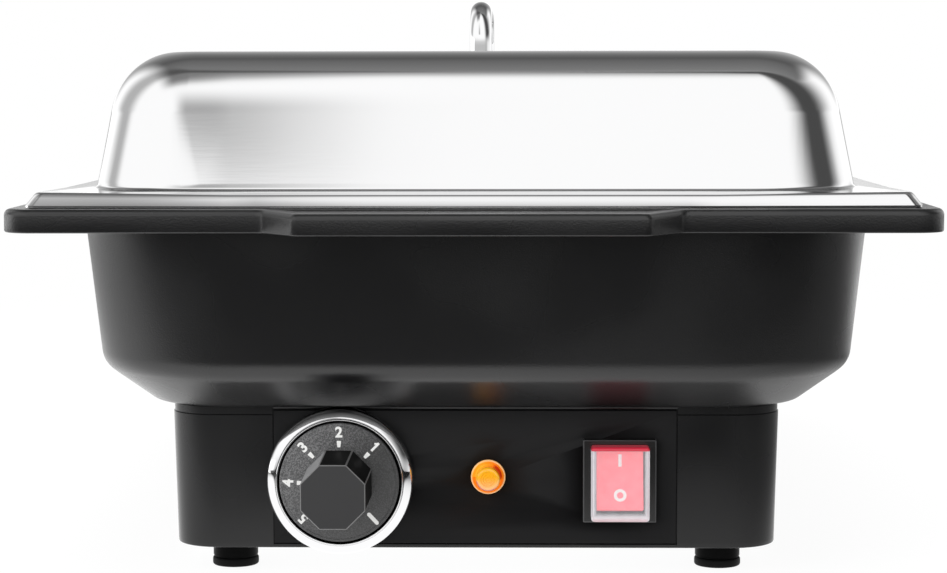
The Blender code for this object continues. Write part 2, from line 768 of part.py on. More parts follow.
def make_base_housing():
    mat = black_plastic("base_black")
    band_z = BASE_TOP - BASE_BAND_HEIGHT
    flange_under = BASE_TOP - BASE_FLANGE_THICKNESS
    loops = [
        base_loop(0, FOOT_HEIGHT, 0),
        base_loop(0, band_z - BASE_BAND_STEP, 0),
        base_loop(BASE_BAND_STEP, band_z, BASE_BAND_STEP),
        base_loop(BASE_BAND_STEP, BASE_TOP, BASE_BAND_STEP),
        base_loop(BASE_FLANGE, BASE_TOP, BASE_WALL),
        base_loop(BASE_FLANGE, flange_under, BASE_WALL),
        base_loop(BASE_WALL, flange_under, BASE_WALL),
        base_loop(BASE_WALL, FOOT_HEIGHT, BASE_WALL),
    ]
    housing = skin("base_housing", loops, mat, ring=True)
    post_low = PLATE_TOP + GAP
    for index, (x, y) in enumerate(post_places()):
        post = rod(
            f"post_{index + 1}", 2 * POST_RADIUS, post_low, flange_under + GAP, SMALL_ROUND_STEPS, mat,
        )
        unite(housing, place(post, x, y, 0))
    for index, (x, y) in enumerate(post_places()):
        bore = bore_cutter(
            f"post_bore_{index + 1}", SCREW_DIAMETER,
            post_low - OVERRUN, post_low + SCREW_REACH, SMALL_ROUND_STEPS, mat,
        )
        cut(housing, place(bore, x, y, 0))
    for index, (x, y) in enumerate(tub_screw_places()):
        hole = bore_cutter(
            f"flange_hole_{index + 1}", SCREW_DIAMETER,
            flange_under - OVERRUN, BASE_TOP + OVERRUN, SMALL_ROUND_STEPS, mat,
        )
        cut(housing, place(hole, x, y, 0))
    cut_panel_seat(housing, mat)
    gland_hole = bore_cutter(
        "gland_hole", GLAND_THREAD, -BASE_WALL - OVERRUN, OVERRUN, ROUND_STEPS, mat,
    )
    cut(housing, face_back(gland_hole, GLAND_X, BACK_FACE, CONTROL_Z))
    return housing


def cut_panel_seat(housing, mat):
    """A pocket for the panel, flush with the front, and a window through its floor."""
    half = PANEL_WIDTH / 2 + GAP
    pocket = box(
        "panel_pocket", (-half, PANEL_FRONT - OVERRUN, PANEL_LOW - GAP),
        (half, PANEL_BACK + GAP, PANEL_HIGH + GAP), mat,
    )
    cut(housing, pocket)
    window_half = PANEL_WIDTH / 2 - PANEL_LIP
    window = box(
        "panel_window", (-window_half, PANEL_FRONT - OVERRUN, PANEL_LOW + PANEL_LIP),
        (window_half, PANEL_FRONT + BASE_WALL + OVERRUN, PANEL_HIGH - PANEL_LIP), mat,
    )
    cut(housing, window)


def make_base_plate():
    mat = zinc("plate_zinc")
    inset = BASE_WALL + GAP
    low_offset = base_half_width(FOOT_HEIGHT) - PAN_WIDTH / 2 - inset
    loops = [
        plan_loop(low_offset, BASE_OFFSET - inset, BASE_CORNER - inset, z)
        for z in (PLATE_BOTTOM, PLATE_TOP)
    ]
    plate = skin("base_plate", loops, mat, cap_first=True, cap_last=True)
    for index, (x, y) in enumerate(post_places()):
        hole = bore_cutter(
            f"plate_hole_{index + 1}", SCREW_DIAMETER,
            PLATE_BOTTOM - OVERRUN, PLATE_TOP + OVERRUN, SMALL_ROUND_STEPS, mat,
        )
        cut(plate, place(hole, x, y, 0))
    for index, (x, y) in enumerate(foot_places()):
        hole = bore_cutter(
            f"foot_hole_{index + 1}", FOOT_STUD_DIAMETER,
            PLATE_BOTTOM - OVERRUN, PLATE_TOP + OVERRUN, SMALL_ROUND_STEPS, mat,
        )
        cut(plate, place(hole, x, y, 0))
    return plate


def make_housing_screws():
    plate_head = PLATE_BOTTOM - GAP
    reach = PLATE_TOP + SCREW_REACH - plate_head
    for index, (x, y) in enumerate(post_places()):
        screw = screw_solid(
            f"base_screw_{index + 1}", SCREW_HEAD_DIAMETER, SCREW_HEAD_HEIGHT,
            SCREW_DIAMETER, reach, zinc("base_screw_zinc"),
        )
        place(screw, x, y, plate_head)
    flange_head = BASE_TOP - BASE_FLANGE_THICKNESS - GAP
    for index, (x, y) in enumerate(tub_screw_places()):
        screw = screw_solid(
            f"tub_screw_{index + 1}", SCREW_HEAD_DIAMETER, SCREW_HEAD_HEIGHT,
            SCREW_DIAMETER, TUB_BOTTOM + TUB_WALL - flange_head, zinc("tub_screw_zinc"),
        )
        place(screw, x, y, flange_head)


# Feet


def foot_places():
    x = PAN_WIDTH / 2 - FOOT_INSET_X
    y = PAN_LENGTH / 2 - FOOT_INSET_Y
    return [(x, y), (-x, y), (-x, -y), (x, -y)]


def make_feet():
    stem_low = FOOT_PAD_HEIGHT + GAP
    stem_high = PLATE_BOTTOM - GAP
    nut_low = PLATE_TOP + GAP
    nut_high = nut_low + FOOT_NUT_HEIGHT
    stud_high = nut_high + FOOT_STUD_PROUD
    stem_radius = FOOT_STEM_DIAMETER / 2
    stud_radius = FOOT_STUD_DIAMETER / 2
    pad_radius = FOOT_PAD_DIAMETER / 2
    stem_profile = [
        (0, stem_low), (stem_radius, stem_low), (stem_radius, stem_high),
        (stud_radius, stem_high), (stud_radius, stud_high), (0, stud_high),
    ]
    pad_profile = [
        (0, 0), (pad_radius - FOOT_PAD_ROUND, 0), (pad_radius, FOOT_PAD_ROUND),
        (pad_radius, FOOT_PAD_HEIGHT - FOOT_PAD_ROUND), (pad_radius - FOOT_PAD_ROUND, FOOT_PAD_HEIGHT),
        (0, FOOT_PAD_HEIGHT),
    ]
    for index, (x, y) in enumerate(foot_places()):
        stem = lathe(f"foot_stem_{index + 1}", stem_profile, ROUND_STEPS, black_plastic("foot_black"))
        place(stem, x, y, 0)
        pad = lathe(f"foot_pad_{index + 1}", pad_profile, ROUND_STEPS, rubber("pad_rubber"))
        place(pad, x, y, 0)
        nut = make_nut(f"foot_nut_{index + 1}", NUT_ACROSS, FOOT_STUD_DIAMETER, nut_low, nut_high)
        place(nut, x, y, 0)


def make_nut(name, across, thread, low, high):
    nut = prism(name, 6, across, low, high, zinc("nut_zinc"))
    bore = bore_cutter(
        name + "_bore", thread, low - OVERRUN, high + OVERRUN, SMALL_ROUND_STEPS, zinc("hole"),
    )
    hide_tool(bore)
    bore.parent = nut
    cut(nut, bore)
    return nut


# Control panel and its pieces


def make_control_panel():
    mat = black_plastic("panel_black")
    half = PANEL_WIDTH / 2
    panel = box("control_panel", (-half, PANEL_FRONT, PANEL_LOW), (half, PANEL_BACK, PANEL_HIGH), mat)
    add_panel_hooks(panel, mat)
    collar = bore_cutter(
        "collar_hole", THERMOSTAT_COLLAR,
        -PANEL_THICKNESS - OVERRUN, OVERRUN, ROUND_STEPS, mat,
    )
    cut(panel, face_front(collar, KNOB_X, PANEL_FRONT, CONTROL_Z))
    for index, z in enumerate(thermostat_screw_heights()):
        hole = bore_cutter(
            f"panel_hole_{index + 1}", SCREW_DIAMETER,
            -PANEL_THICKNESS - OVERRUN, OVERRUN, SMALL_ROUND_STEPS, mat,
        )
        cut(panel, face_front(hole, KNOB_X, PANEL_FRONT, z))
    lamp_hole = bore_cutter(
        "lamp_hole", LAMP_NECK_DIAMETER,
        -PANEL_THICKNESS - OVERRUN, OVERRUN, ROUND_STEPS, mat,
    )
    cut(panel, face_front(lamp_hole, LAMP_X, PANEL_FRONT, LAMP_Z))
    half_x = switch_body_half_width() + GAP
    half_z = switch_body_half_height() + GAP
    switch_hole = box(
        "switch_hole", (SWITCH_X - half_x, PANEL_FRONT - OVERRUN, CONTROL_Z - half_z),
        (SWITCH_X + half_x, PANEL_BACK + OVERRUN, CONTROL_Z + half_z), mat,
    )
    cut(panel, switch_hole)
    return panel


def add_panel_hooks(panel, mat):
    """Snap legs through the window, hooked behind the lip of the housing."""
    lip_back = PANEL_FRONT + BASE_WALL + GAP
    hook_back = lip_back + PANEL_HOOK_THICKNESS
    for side, edge in ((1, PANEL_HIGH - PANEL_LIP), (-1, PANEL_LOW + PANEL_LIP)):
        outer = edge - side * GAP
        inner = outer - side * PANEL_HOOK_LEG
        tip = outer + side * PANEL_HOOK_REACH
        for hand in (-1, 1):
            middle = hand * PANEL_HOOK_SPACING / 2
            low_x = middle - PANEL_HOOK_WIDTH / 2
            high_x = middle + PANEL_HOOK_WIDTH / 2
            leg = box(
                f"hook_leg_{side}_{hand}", (low_x, PANEL_BACK - GAP, min(outer, inner)),
                (high_x, hook_back, max(outer, inner)), mat,
            )
            unite(panel, leg)
            barb = box(
                f"hook_barb_{side}_{hand}", (low_x, lip_back, min(tip, inner)),
                (high_x, hook_back, max(tip, inner)), mat,
            )
            unite(panel, barb)


def thermostat_screw_heights():
    half = THERMOSTAT_SCREW_SPACING / 2
    return (CONTROL_Z - half, CONTROL_Z + half)


def make_knob_bezel():
    """Chromed ring standing on the panel round the dial."""
    inner = BEZEL_OPENING / 2
    width = BEZEL_DIAMETER / 2 - inner
    profile = [(inner + width * across, BEZEL_HEIGHT * up) for across, up in BEZEL_SHARES]
    profile.append((inner, BEZEL_HEIGHT - width * BEZEL_SHARES[-1][0]))
    profile.append((inner, 0))
    bezel = lathe("knob_bezel", profile, LARGE_ROUND_STEPS, chrome("bezel_chrome"))
    return face_front(bezel, KNOB_X, PANEL_FRONT - GAP, CONTROL_Z)


def make_knob():
    """Dial skirt, hub and octagonal grip. Its origin is on the shaft's axis, in the panel's front."""
    mat = black_plastic("knob_black")
    radius = BEZEL_OPENING / 2 - DIAL_CLEARANCE
    back = DIAL_FACE - DIAL_THICKNESS
    hub = HUB_DIAMETER / 2
    hub_back = HUB_CLEARANCE
    profile = [
        (0, hub_back), (hub, hub_back), (hub, back), (radius, back),
        (radius, DIAL_FACE - DIAL_EDGE), (radius - DIAL_EDGE, DIAL_FACE), (0, DIAL_FACE),
    ]
    knob = lathe("knob", profile, LARGE_ROUND_STEPS, mat)
    grip = prism(
        "knob_grip", GRIP_SIDES, GRIP_ACROSS, DIAL_FACE - DIAL_THICKNESS / 2, DIAL_FACE + GRIP_HEIGHT, mat,
        top_across=GRIP_ACROSS - GRIP_TAPER,
    )
    grip.parent = knob
    unite(knob, grip)
    bore = bore_cutter(
        "knob_bore", SHAFT_DIAMETER, hub_back - OVERRUN, SHAFT_GRIP + GAP, SMALL_ROUND_STEPS, mat,
    )
    bore.parent = knob
    cut(knob, bore)
    return face_front(knob, KNOB_X, PANEL_FRONT, CONTROL_Z)


def make_thermostat():
    mat = pale_plastic("thermostat_pale")
    front = -PANEL_THICKNESS - GAP
    half = THERMOSTAT_WIDTH / 2
    body = box(
        "thermostat_body", (-half, -half, front - THERMOSTAT_DEPTH), (half, half, front), mat,
    )
    collar = rod(
        "thermostat_collar", THERMOSTAT_COLLAR, front - GAP, GAP, ROUND_STEPS, mat,
    )
    collar.parent = body
    unite(body, collar)
    bore = bore_cutter(
        "shaft_bore", SHAFT_DIAMETER, front - SHAFT_SEAT, OVERRUN, SMALL_ROUND_STEPS, mat,
    )
    bore.parent = body
    cut(body, bore)
    for index, z in enumerate(thermostat_screw_heights()):
        hole = bore_cutter(
            f"thermostat_thread_{index + 1}", SCREW_DIAMETER,
            front - SCREW_REACH, front + OVERRUN, SMALL_ROUND_STEPS, mat,
        )
        hole.location = (0, z - CONTROL_Z, 0)
        hole.parent = body
        cut(body, hole)
    face_front(body, KNOB_X, PANEL_FRONT, CONTROL_Z)
    shaft = rod(
        "thermostat_shaft", SHAFT_DIAMETER, front - SHAFT_SEAT + GAP, SHAFT_GRIP, SMALL_ROUND_STEPS,
        zinc("shaft_zinc"),
    )
    face_front(shaft, KNOB_X, PANEL_FRONT, CONTROL_Z)
    for index, z in enumerate(thermostat_screw_heights()):
        screw = screw_solid(
            f"thermostat_screw_{index + 1}", SCREW_HEAD_DIAMETER, SCREW_HEAD_HEIGHT,
            SCREW_DIAMETER, PANEL_THICKNESS + SCREW_REACH, zinc("thermostat_screw_zinc"),
        )
        face_back(screw, KNOB_X, PANEL_FRONT - GAP, z)


def make_pilot_lamp():
    flange = LAMP_FLANGE_DIAMETER / 2
    dome = LAMP_DOME_DIAMETER / 2
    neck = LAMP_NECK_DIAMETER / 2
    neck_end = -LAMP_NECK_LENGTH
    lens_profile = [
        (0, neck_end), (neck, neck_end), (neck, GAP), (flange, GAP),
        (flange, LAMP_FLANGE_HEIGHT), (dome, LAMP_FLANGE_HEIGHT + LAMP_DOME_ROUND / 2),
        (dome, LAMP_DOME_HEIGHT - LAMP_DOME_ROUND), (dome - LAMP_DOME_ROUND, LAMP_DOME_HEIGHT),
        (0, LAMP_DOME_HEIGHT),
    ]
    lens = lathe("pilot_lens", lens_profile, ROUND_STEPS, material("lens_amber", (1.0, 0.42, 0.05), 0.2))
    face_front(lens, LAMP_X, PANEL_FRONT, LAMP_Z)
    body = LAMP_BODY_DIAMETER / 2
    front = -PANEL_THICKNESS - GAP
    socket = neck + GAP
    body_profile = [
        (0, front - LAMP_BODY_LENGTH), (body, front - LAMP_BODY_LENGTH), (body, front),
        (socket, front), (socket, neck_end - GAP), (0, neck_end - GAP),
    ]
    lamp = lathe("pilot_body", body_profile, ROUND_STEPS, pale_plastic("lamp_pale"))
    add_blades(lamp, front - LAMP_BODY_LENGTH, LAMP_BODY_DIAMETER * BLADE_SPREAD_SHARE)
    face_front(lamp, LAMP_X, PANEL_FRONT, LAMP_Z)


def add_blades(body, back, spread):
    """Two flat terminals on the back of a body, whose local +Z points to the front."""
    for hand in (-1, 1):
        middle = hand * spread
        blade = box(
            f"{body.name}_blade_{hand}",
            (-BLADE_WIDTH / 2, middle - BLADE_THICKNESS / 2, back - BLADE_LENGTH),
            (BLADE_WIDTH / 2, middle + BLADE_THICKNESS / 2, back + BLADE_THICKNESS),
            zinc("blade_zinc"),
        )
        blade.parent = body
        unite(body, blade)


# Rocker switch


def switch_body_half_width():
    return SWITCH_OPENING_WIDTH / 2 + SWITCH_BODY_WALL


def switch_body_half_height():
    return SWITCH_OPENING_HEIGHT / 2 + SWITCH_BODY_WALL


def make_switch_frame():
    """Frame in local axes: X along the panel, Y up, Z out of the panel."""
    mat = black_plastic("frame_black")
    half_x = SWITCH_WIDTH / 2
    half_y = SWITCH_HEIGHT / 2
    frame = box("switch_frame", (-half_x, -half_y, GAP), (half_x, half_y, SWITCH_FRAME_DEPTH), mat)
    open_x = SWITCH_OPENING_WIDTH / 2
    open_y = SWITCH_OPENING_HEIGHT / 2
    opening = box(
        "frame_opening", (-open_x, -open_y, -OVERRUN), (open_x, open_y, SWITCH_FRAME_DEPTH + OVERRUN), mat,
    )
    opening.parent = frame
    cut(frame, opening)
    reach = open_x - ROCKER_SIDE_GAP + ROCKER_PIN_LENGTH + GAP
    socket = bore_cutter(
        "pivot_socket", ROCKER_PIN_DIAMETER, -reach, reach, SMALL_ROUND_STEPS, mat,
    )
    socket.rotation_euler = (0, math.pi / 2, 0)
    socket.location = (0, 0, ROCKER_PIVOT_DEPTH)
    socket.parent = frame
    cut(frame, socket)
    return face_front(frame, SWITCH_X, PANEL_FRONT, CONTROL_Z)


def make_switch_body():
    """Open box through the panel, behind the rocker."""
    mat = black_plastic("switch_body_black")
    half_x = switch_body_half_width()
    half_y = switch_body_half_height()
    back = -SWITCH_BODY_DEPTH
    body = box("switch_body", (-half_x, -half_y, back), (half_x, half_y, 0), mat)
    hollow = box(
        "switch_hollow", (-half_x + SWITCH_BODY_WALL, -half_y + SWITCH_BODY_WALL, back + SWITCH_BODY_WALL),
        (half_x - SWITCH_BODY_WALL, half_y - SWITCH_BODY_WALL, OVERRUN), mat,
    )
    hollow.parent = body
    cut(body, hollow)
    add_blades(body, back, SWITCH_OPENING_HEIGHT * BLADE_SPREAD_SHARE)
    return face_front(body, SWITCH_X, PANEL_FRONT, CONTROL_Z)


def make_switch_boot():
    """Clear splash cover over the rocker, standing on the frame."""
    mat = material("boot_clear", (0.86, 0.87, 0.9), 0.15, 0.0, 0.3)
    low = SWITCH_FRAME_DEPTH + GAP
    high = low + BOOT_DEPTH
    inner_x = SWITCH_OPENING_WIDTH / 2 + BOOT_SIDE_REACH
    inner_y = SWITCH_OPENING_HEIGHT / 2 + BOOT_SIDE_REACH
    half_x = inner_x + BOOT_WALL
    half_y = inner_y + BOOT_WALL
    boot = box("switch_boot", (-half_x, -half_y, low), (half_x, half_y, high), mat)
    hollow = box(
        "boot_hollow", (-inner_x, -inner_y, low - OVERRUN), (inner_x, inner_y, high - BOOT_WALL), mat,
    )
    hollow.parent = boot
    cut(boot, hollow)
    return face_front(boot, SWITCH_X, PANEL_FRONT, CONTROL_Z)


def make_rocker():
    """Rocker with its origin on the pivot, tilted to its on position, top side in."""
    mat = material("rocker_red", (0.85, 0.25, 0.28), 0.3)
    half_x = SWITCH_OPENING_WIDTH / 2 - ROCKER_SIDE_GAP
    half_y = SWITCH_OPENING_HEIGHT / 2 - ROCKER_END_GAP
    outline = [
        (half_y, -ROCKER_BACK), (half_y, ROCKER_RISE), (0, ROCKER_RISE - ROCKER_DIP),
        (-half_y, ROCKER_RISE), (-half_y, -ROCKER_BACK), (0, -ROCKER_NOSE),
    ]
    shape = bmesh.new()
    ends = []
    for x in (-half_x, half_x):
        ends.append([shape.verts.new((x, y, z)) for y, z in outline])
    for i in range(len(outline)):
        j = (i + 1) % len(outline)
        shape.faces.new((ends[0][i], ends[0][j], ends[1][j], ends[1][i]))
    shape.faces.new(ends[0])
    shape.faces.new(ends[1])
    rocker = object_from("rocker", shape, mat, smooth=False)
    pin_reach = half_x + ROCKER_PIN_LENGTH
    pin = rod("rocker_pin", ROCKER_PIN_DIAMETER, -pin_reach, pin_reach, SMALL_ROUND_STEPS, mat)
    pin.rotation_euler = (0, math.pi / 2, 0)
    pin.parent = rocker
    unite(rocker, pin)
    rocker.rotation_euler = (math.pi / 2 - ROCKER_THROW / 2, 0, 0)
    rocker.location = (SWITCH_X, PANEL_FRONT - ROCKER_PIVOT_DEPTH, CONTROL_Z)
    return rocker


# Heater


def make_heater():
    offset_x = HEATER_WIDTH / 2 - PAN_WIDTH / 2
    offset_y = HEATER_LENGTH / 2 - PAN_LENGTH / 2
    loops = [plan_loop(offset_x, offset_y, HEATER_CORNER, z) for z in (HEATER_BOTTOM, HEATER_TOP)]
    mat = material("heater_aluminium", (0.7, 0.71, 0.72), 0.4, 1.0)
    plate = skin("heater_plate", loops, mat, cap_first=True, cap_last=True)
    stud_low = HEATER_BOTTOM - HEATER_STUD_LENGTH
    clamp_low = CLAMP_TOP - CLAMP_THICKNESS
    for index, y in enumerate((-HEATER_STUD_SPACING / 2, HEATER_STUD_SPACING / 2)):
        stud = rod(
            f"heater_stud_{index + 1}", HEATER_STUD_DIAMETER,
            stud_low, HEATER_BOTTOM + GAP, SMALL_ROUND_STEPS, mat,
        )
        unite(plate, place(stud, 0, y, 0))
        make_clamp(f"heater_clamp_{index + 1}", y, clamp_low)
        nut_high = clamp_low - GAP
        nut = make_nut(
            f"heater_nut_{index + 1}", NUT_ACROSS, HEATER_STUD_DIAMETER, nut_high - NUT_HEIGHT, nut_high,
        )
        place(nut, 0, y, 0)
    make_element()
    cutout = rod(
        "thermal_cutout", CUTOUT_DIAMETER, HEATER_BOTTOM - GAP - CUTOUT_HEIGHT, HEATER_BOTTOM - GAP,
        ROUND_STEPS, black_plastic("cutout_black"),
    )
    place(cutout, CUTOUT_X, 0, 0)


def make_clamp(name, y, low):
    half_x = ELEMENT_SPREAD / 2 + ELEMENT_DIAMETER
    half_y = CLAMP_WIDTH / 2
    clamp = box(name, (-half_x, y - half_y, low), (half_x, y + half_y, CLAMP_TOP), zinc("clamp_zinc"))
    hole = bore_cutter(
        name + "_hole", HEATER_STUD_DIAMETER, low - OVERRUN, CLAMP_TOP + OVERRUN,
        SMALL_ROUND_STEPS, zinc("hole"),
    )
    cut(clamp, place(hole, 0, y, 0))


def make_element():
    """Hairpin tube under the heater plate, open end to the front."""
    half = ELEMENT_SPREAD / 2
    bend_y = (ELEMENT_LEG - half) / 2
    front = bend_y - ELEMENT_LEG
    bend = arc((0, bend_y), half, 0, math.pi, HAIRPIN_STEPS)
    route = [(half, front)] + bend + [(-half, front)]
    points = [(x, y, ELEMENT_Z) for x, y in route]
    return tube("heating_element", points, ELEMENT_DIAMETER, THIN_TUBE_STEPS, steel("element_steel"))


def make_sensor():
    """Sensing bulb under the heater plate and its capillary to the back of the thermostat."""
    bulb_z = HEATER_BOTTOM - GAP - BULB_DIAMETER / 2
    bulb_front = -BULB_LENGTH / 2
    start = (KNOB_X, PANEL_BACK + GAP + THERMOSTAT_DEPTH + GAP, CONTROL_Z + CAPILLARY_RISE)
    end = (BULB_X, bulb_front - BULB_DIAMETER, bulb_z)
    points = []
    for step in range(CAPILLARY_STEPS + 1):
        share = step / CAPILLARY_STEPS
        ease = share * share * (3 - 2 * share)
        x = start[0] + (end[0] - start[0]) * ease
        y = start[1] + (end[1] - start[1]) * share
        z = start[2] + (end[2] - start[2]) * ease
        points.append((x, y, z))
    thin = CAPILLARY_DIAMETER / BULB_DIAMETER
    radii = [thin] * len(points)
    points += [(BULB_X, bulb_front, bulb_z), (BULB_X, -bulb_front, bulb_z)]
    radii += [1, 1]
    mat = material("copper", (0.8, 0.5, 0.35), 0.3, 1.0)
    return tube("sensor_bulb", points, BULB_DIAMETER, THIN_TUBE_STEPS, mat, radii)


# Supply


def make_gland():
    """Cable gland through the back wall. Local +Z points out of the back."""
    mat = black_plastic("gland_black")
    thread = GLAND_THREAD / 2
    bore = GLAND_BORE / 2
    dome = GLAND_DOME_DIAMETER / 2
    flange = GLAND_HEX / 2
    inside = -BASE_WALL - GLAND_THREAD_INSIDE
    end = GLAND_FLANGE_DEPTH + GLAND_DOME_DEPTH
    profile = [
        (bore, inside), (thread, inside), (thread, GAP), (flange, GAP), (flange, GLAND_FLANGE_DEPTH),
        (dome, GLAND_FLANGE_DEPTH), (dome, end - GLAND_DOME_DEPTH / 2), (bore + (dome - bore) / 2, end),
        (bore, end),
    ]
    gland = lathe("cable_gland", profile, ROUND_STEPS, mat)
    face_back(gland, GLAND_X, BACK_FACE, CONTROL_Z)
    nut_high = -BASE_WALL - GAP
    nut = make_nut("gland_nut", GLAND_HEX, GLAND_THREAD, nut_high - GLAND_NUT_DEPTH, nut_high)
    face_back(nut, GLAND_X, BACK_FACE, CONTROL_Z)


def make_terminal_block():
    """Stepped block standing on the base plate, with one slot between each pair of ways."""
    mat = pale_plastic("block_pale")
    half_x = BLOCK_WIDTH / 2
    low = PLATE_TOP + GAP
    back = BACK_FACE - BLOCK_SETBACK
    front = back - BLOCK_DEPTH
    middle = GLAND_X
    high = low + BLOCK_HEIGHT
    block = box("terminal_block", (middle - half_x, front, low), (middle + half_x, back, high), mat)
    for hand, (edge_low, edge_high) in enumerate(((front, front + BLOCK_STEP), (back - BLOCK_STEP, back))):
        step = box(
            f"block_step_{hand + 1}",
            (middle - half_x - OVERRUN, edge_low - OVERRUN * (1 - hand), low + BLOCK_HEIGHT - BLOCK_STEP),
            (middle + half_x + OVERRUN, edge_high + OVERRUN * hand, low + BLOCK_HEIGHT + OVERRUN), mat,
        )
        cut(block, step)
    way = BLOCK_WIDTH / BLOCK_WAYS
    for index in range(1, BLOCK_WAYS):
        x = middle - half_x + way * index
        slot = box(
            f"block_slot_{index}", (x - BLOCK_SLOT / 2, front - OVERRUN, low + BLOCK_HEIGHT - BLOCK_STEP),
            (x + BLOCK_SLOT / 2, back + OVERRUN, low + BLOCK_HEIGHT + OVERRUN), mat,
        )
        cut(block, slot)
    return block


def main():
    clear_scene()
    make_tub()
    make_water_pan()
    make_food_pan()
    make_lid_shell()
    make_lid_handle()
    make_handle_fixings()
    make_base_housing()
    make_base_plate()
    make_housing_screws()
    make_feet()
    make_control_panel()
    make_knob_bezel()
    make_knob()
    make_thermostat()
    make_pilot_lamp()
    make_switch_frame()
    make_switch_body()
    make_switch_boot()
    make_rocker()
    make_heater()
    make_sensor()
    make_gland()
    make_terminal_block()


main()
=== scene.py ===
import math

import bpy
from mathutils import Matrix, Vector


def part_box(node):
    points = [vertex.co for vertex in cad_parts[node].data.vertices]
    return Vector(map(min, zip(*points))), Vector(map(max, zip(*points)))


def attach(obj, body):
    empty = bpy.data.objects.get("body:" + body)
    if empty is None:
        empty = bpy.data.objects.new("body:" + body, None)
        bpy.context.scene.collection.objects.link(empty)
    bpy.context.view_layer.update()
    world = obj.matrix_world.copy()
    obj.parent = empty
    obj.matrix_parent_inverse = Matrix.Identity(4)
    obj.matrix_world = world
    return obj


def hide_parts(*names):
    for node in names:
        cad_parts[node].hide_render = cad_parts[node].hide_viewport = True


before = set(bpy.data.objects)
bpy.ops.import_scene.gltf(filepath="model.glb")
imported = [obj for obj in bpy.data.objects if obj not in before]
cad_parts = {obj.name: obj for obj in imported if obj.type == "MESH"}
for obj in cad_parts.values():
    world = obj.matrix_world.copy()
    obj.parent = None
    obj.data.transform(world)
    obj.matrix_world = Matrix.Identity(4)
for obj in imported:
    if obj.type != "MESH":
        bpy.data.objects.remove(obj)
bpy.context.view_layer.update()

# Camera, from the photograph
CAMERA_PLACE = (0.01736, -1.18900, 0.19997)
CAMERA_PITCH = math.radians(4.912)
CAMERA_YAW = math.radians(1.060)
CAMERA_ROLL = math.radians(-0.094)
CAMERA_LENS = 91.85
CAMERA_RANGE = (0.05, 50.0)

# Sizes in metres: those of the CAD model, and finer ones that only this script has
PAN_WIDTH = 0.325
PAN_LENGTH = 0.530
PAN_DEPTH = 0.065
GAP = 0.0003
PAN_FLANGE = 0.015
PAN_STEEL = 0.0008
PAN_DRAFT = math.radians(4.5)
PAN_CORNER = 0.045
PAN_EDGE_CORNER = 0.016
PAN_BEND = 0.003
PAN_FLOOR_BEND = 0.015
FOOT_HEIGHT = 0.0115
FOOT_STEM_RADIUS = 0.0092
FOOT_STEM_EDGE = 0.0004
FOOT_GROOVE = 0.0002
FOOT_PAD_RADIUS = 0.0095
FOOT_PAD_HEIGHT = 0.0034
FOOT_PAD_ROUND = 0.0009
BASE_HEIGHT = 0.0577
BASE_OFFSET = -0.0375
BASE_SIDE_INSET = 0.0015
BASE_SIDE_DRAFT = 0.0015
BASE_CORNER = 0.0186
BASE_WALL = 0.0035
BASE_FLANGE = 0.021
BASE_FLANGE_THICKNESS = 0.003
BASE_BAND_HEIGHT = 0.0034
BASE_BAND_STEP = 0.0004
BASE_LOW_EDGE = 0.0006
BASE_TOP_EDGE = 0.0004
TUB_WALL = 0.0032
BOWL_OFFSET = -0.0045
BOWL_CORNER = 0.053
BOWL_CORNER_TURN = 0.009
BOWL_HEIGHT = 0.0725
BOWL_DRAFT = math.radians(5.5)
BEVEL_SLOPE = math.radians(36)
BEVEL_HEIGHT = 0.0205
BOWL_BEND = 0.012
BOWL_FLOOR_BEND = 0.006
TUB_OPENING_OFFSET = -0.0613
TUB_OPENING_CORNER = 0.012
RIM_OFFSET = 0.0165
RIM_HEIGHT = 0.009
RIM_CORNER = 0.012
RIM_LIP = 0.0028
RIM_PLATE = 0.003
RIM_ROUND = 0.0025
RIM_LOW_ROUND = 0.0008
RIM_GUSSET = 0.0036
REBATE_DEPTH = 0.0025
REBATE_OFFSET = -0.0043
REBATE_EDGE = 0.0005
LEDGE_REACH = 0.018
LEDGE_TIP = 0.066
LEDGE_ROOT = 0.080
LEDGE_LEAD = 0.014
LEDGE_TIP_FILLET = 0.004
LEDGE_ROOT_FILLET = 0.005
LEDGE_DIP = 0.0007
# (how far inside the rim's top edge, depth in ledge dips) of the groove along the ledge
LEDGE_GROOVE = [(0.0002, 1.0), (0.0003, 1.8), (0.0014, 2.0), (0.00145, 0.0), (0.0019, 0.0)]
LEDGE_GROOVE_INSET = 0.002
LEDGE_GROOVE_FADE = 0.010
FLOOR_EDGE = 0.004
WATER_PAN_CLEARANCE = 0.0015
WATER_PAN_STEEL = 0.0008
LID_STEEL = 0.001
LID_HEIGHT = 0.0598
LID_SKIRT_OFFSET = 0.0085
LID_SKIRT_RUN = 0.0038
LID_SKIRT_HEIGHT = 0.0048
LID_HEM = 0.0006
LID_SKIRT_CORNER = 0.004
LID_WAIST_DROP = 0.0013
LID_WAIST_DEPTH = 0.0001
LID_EDGE_DROP = 0.0005
LID_EDGE_SWELL = 0.00003
LID_CREASE_ROUND = 0.0018
LID_CREASE_STEPS = 6
LID_FLANGE_RISE = 0.0010
LID_FLANGE_STATIONS = (0.25, 0.6, 0.85)
LID_CORNER_LIFT = 0.0009
LID_CORNER_LIFT_LENGTH = 0.075
LID_CORNER_LIFT_START = 0.0033
DOME_TOP_OFFSET = -0.0433
DOME_TOP_STATIONS = (0.002, 0.006)
DOME_EDGE_BEND = 0.0292
DOME_FOOT_BEND = 0.0016
DOME_DRAFT = math.radians(12)
DOME_FOOT_CORNER = 0.048
DOME_MIDDLE_CORNER = 0.035
DOME_MIDDLE_RISE = 0.024
DOME_SIDE_INSET = 0.002
DOME_TOP_CORNER = 0.010
DOME_FLARE = 0.0075
DOME_FLARE_HEIGHT = 0.020
DOME_FLARE_LENGTH = 0.045
HANDLE_RISE = 0.025
HANDLE_SPAN = 0.115
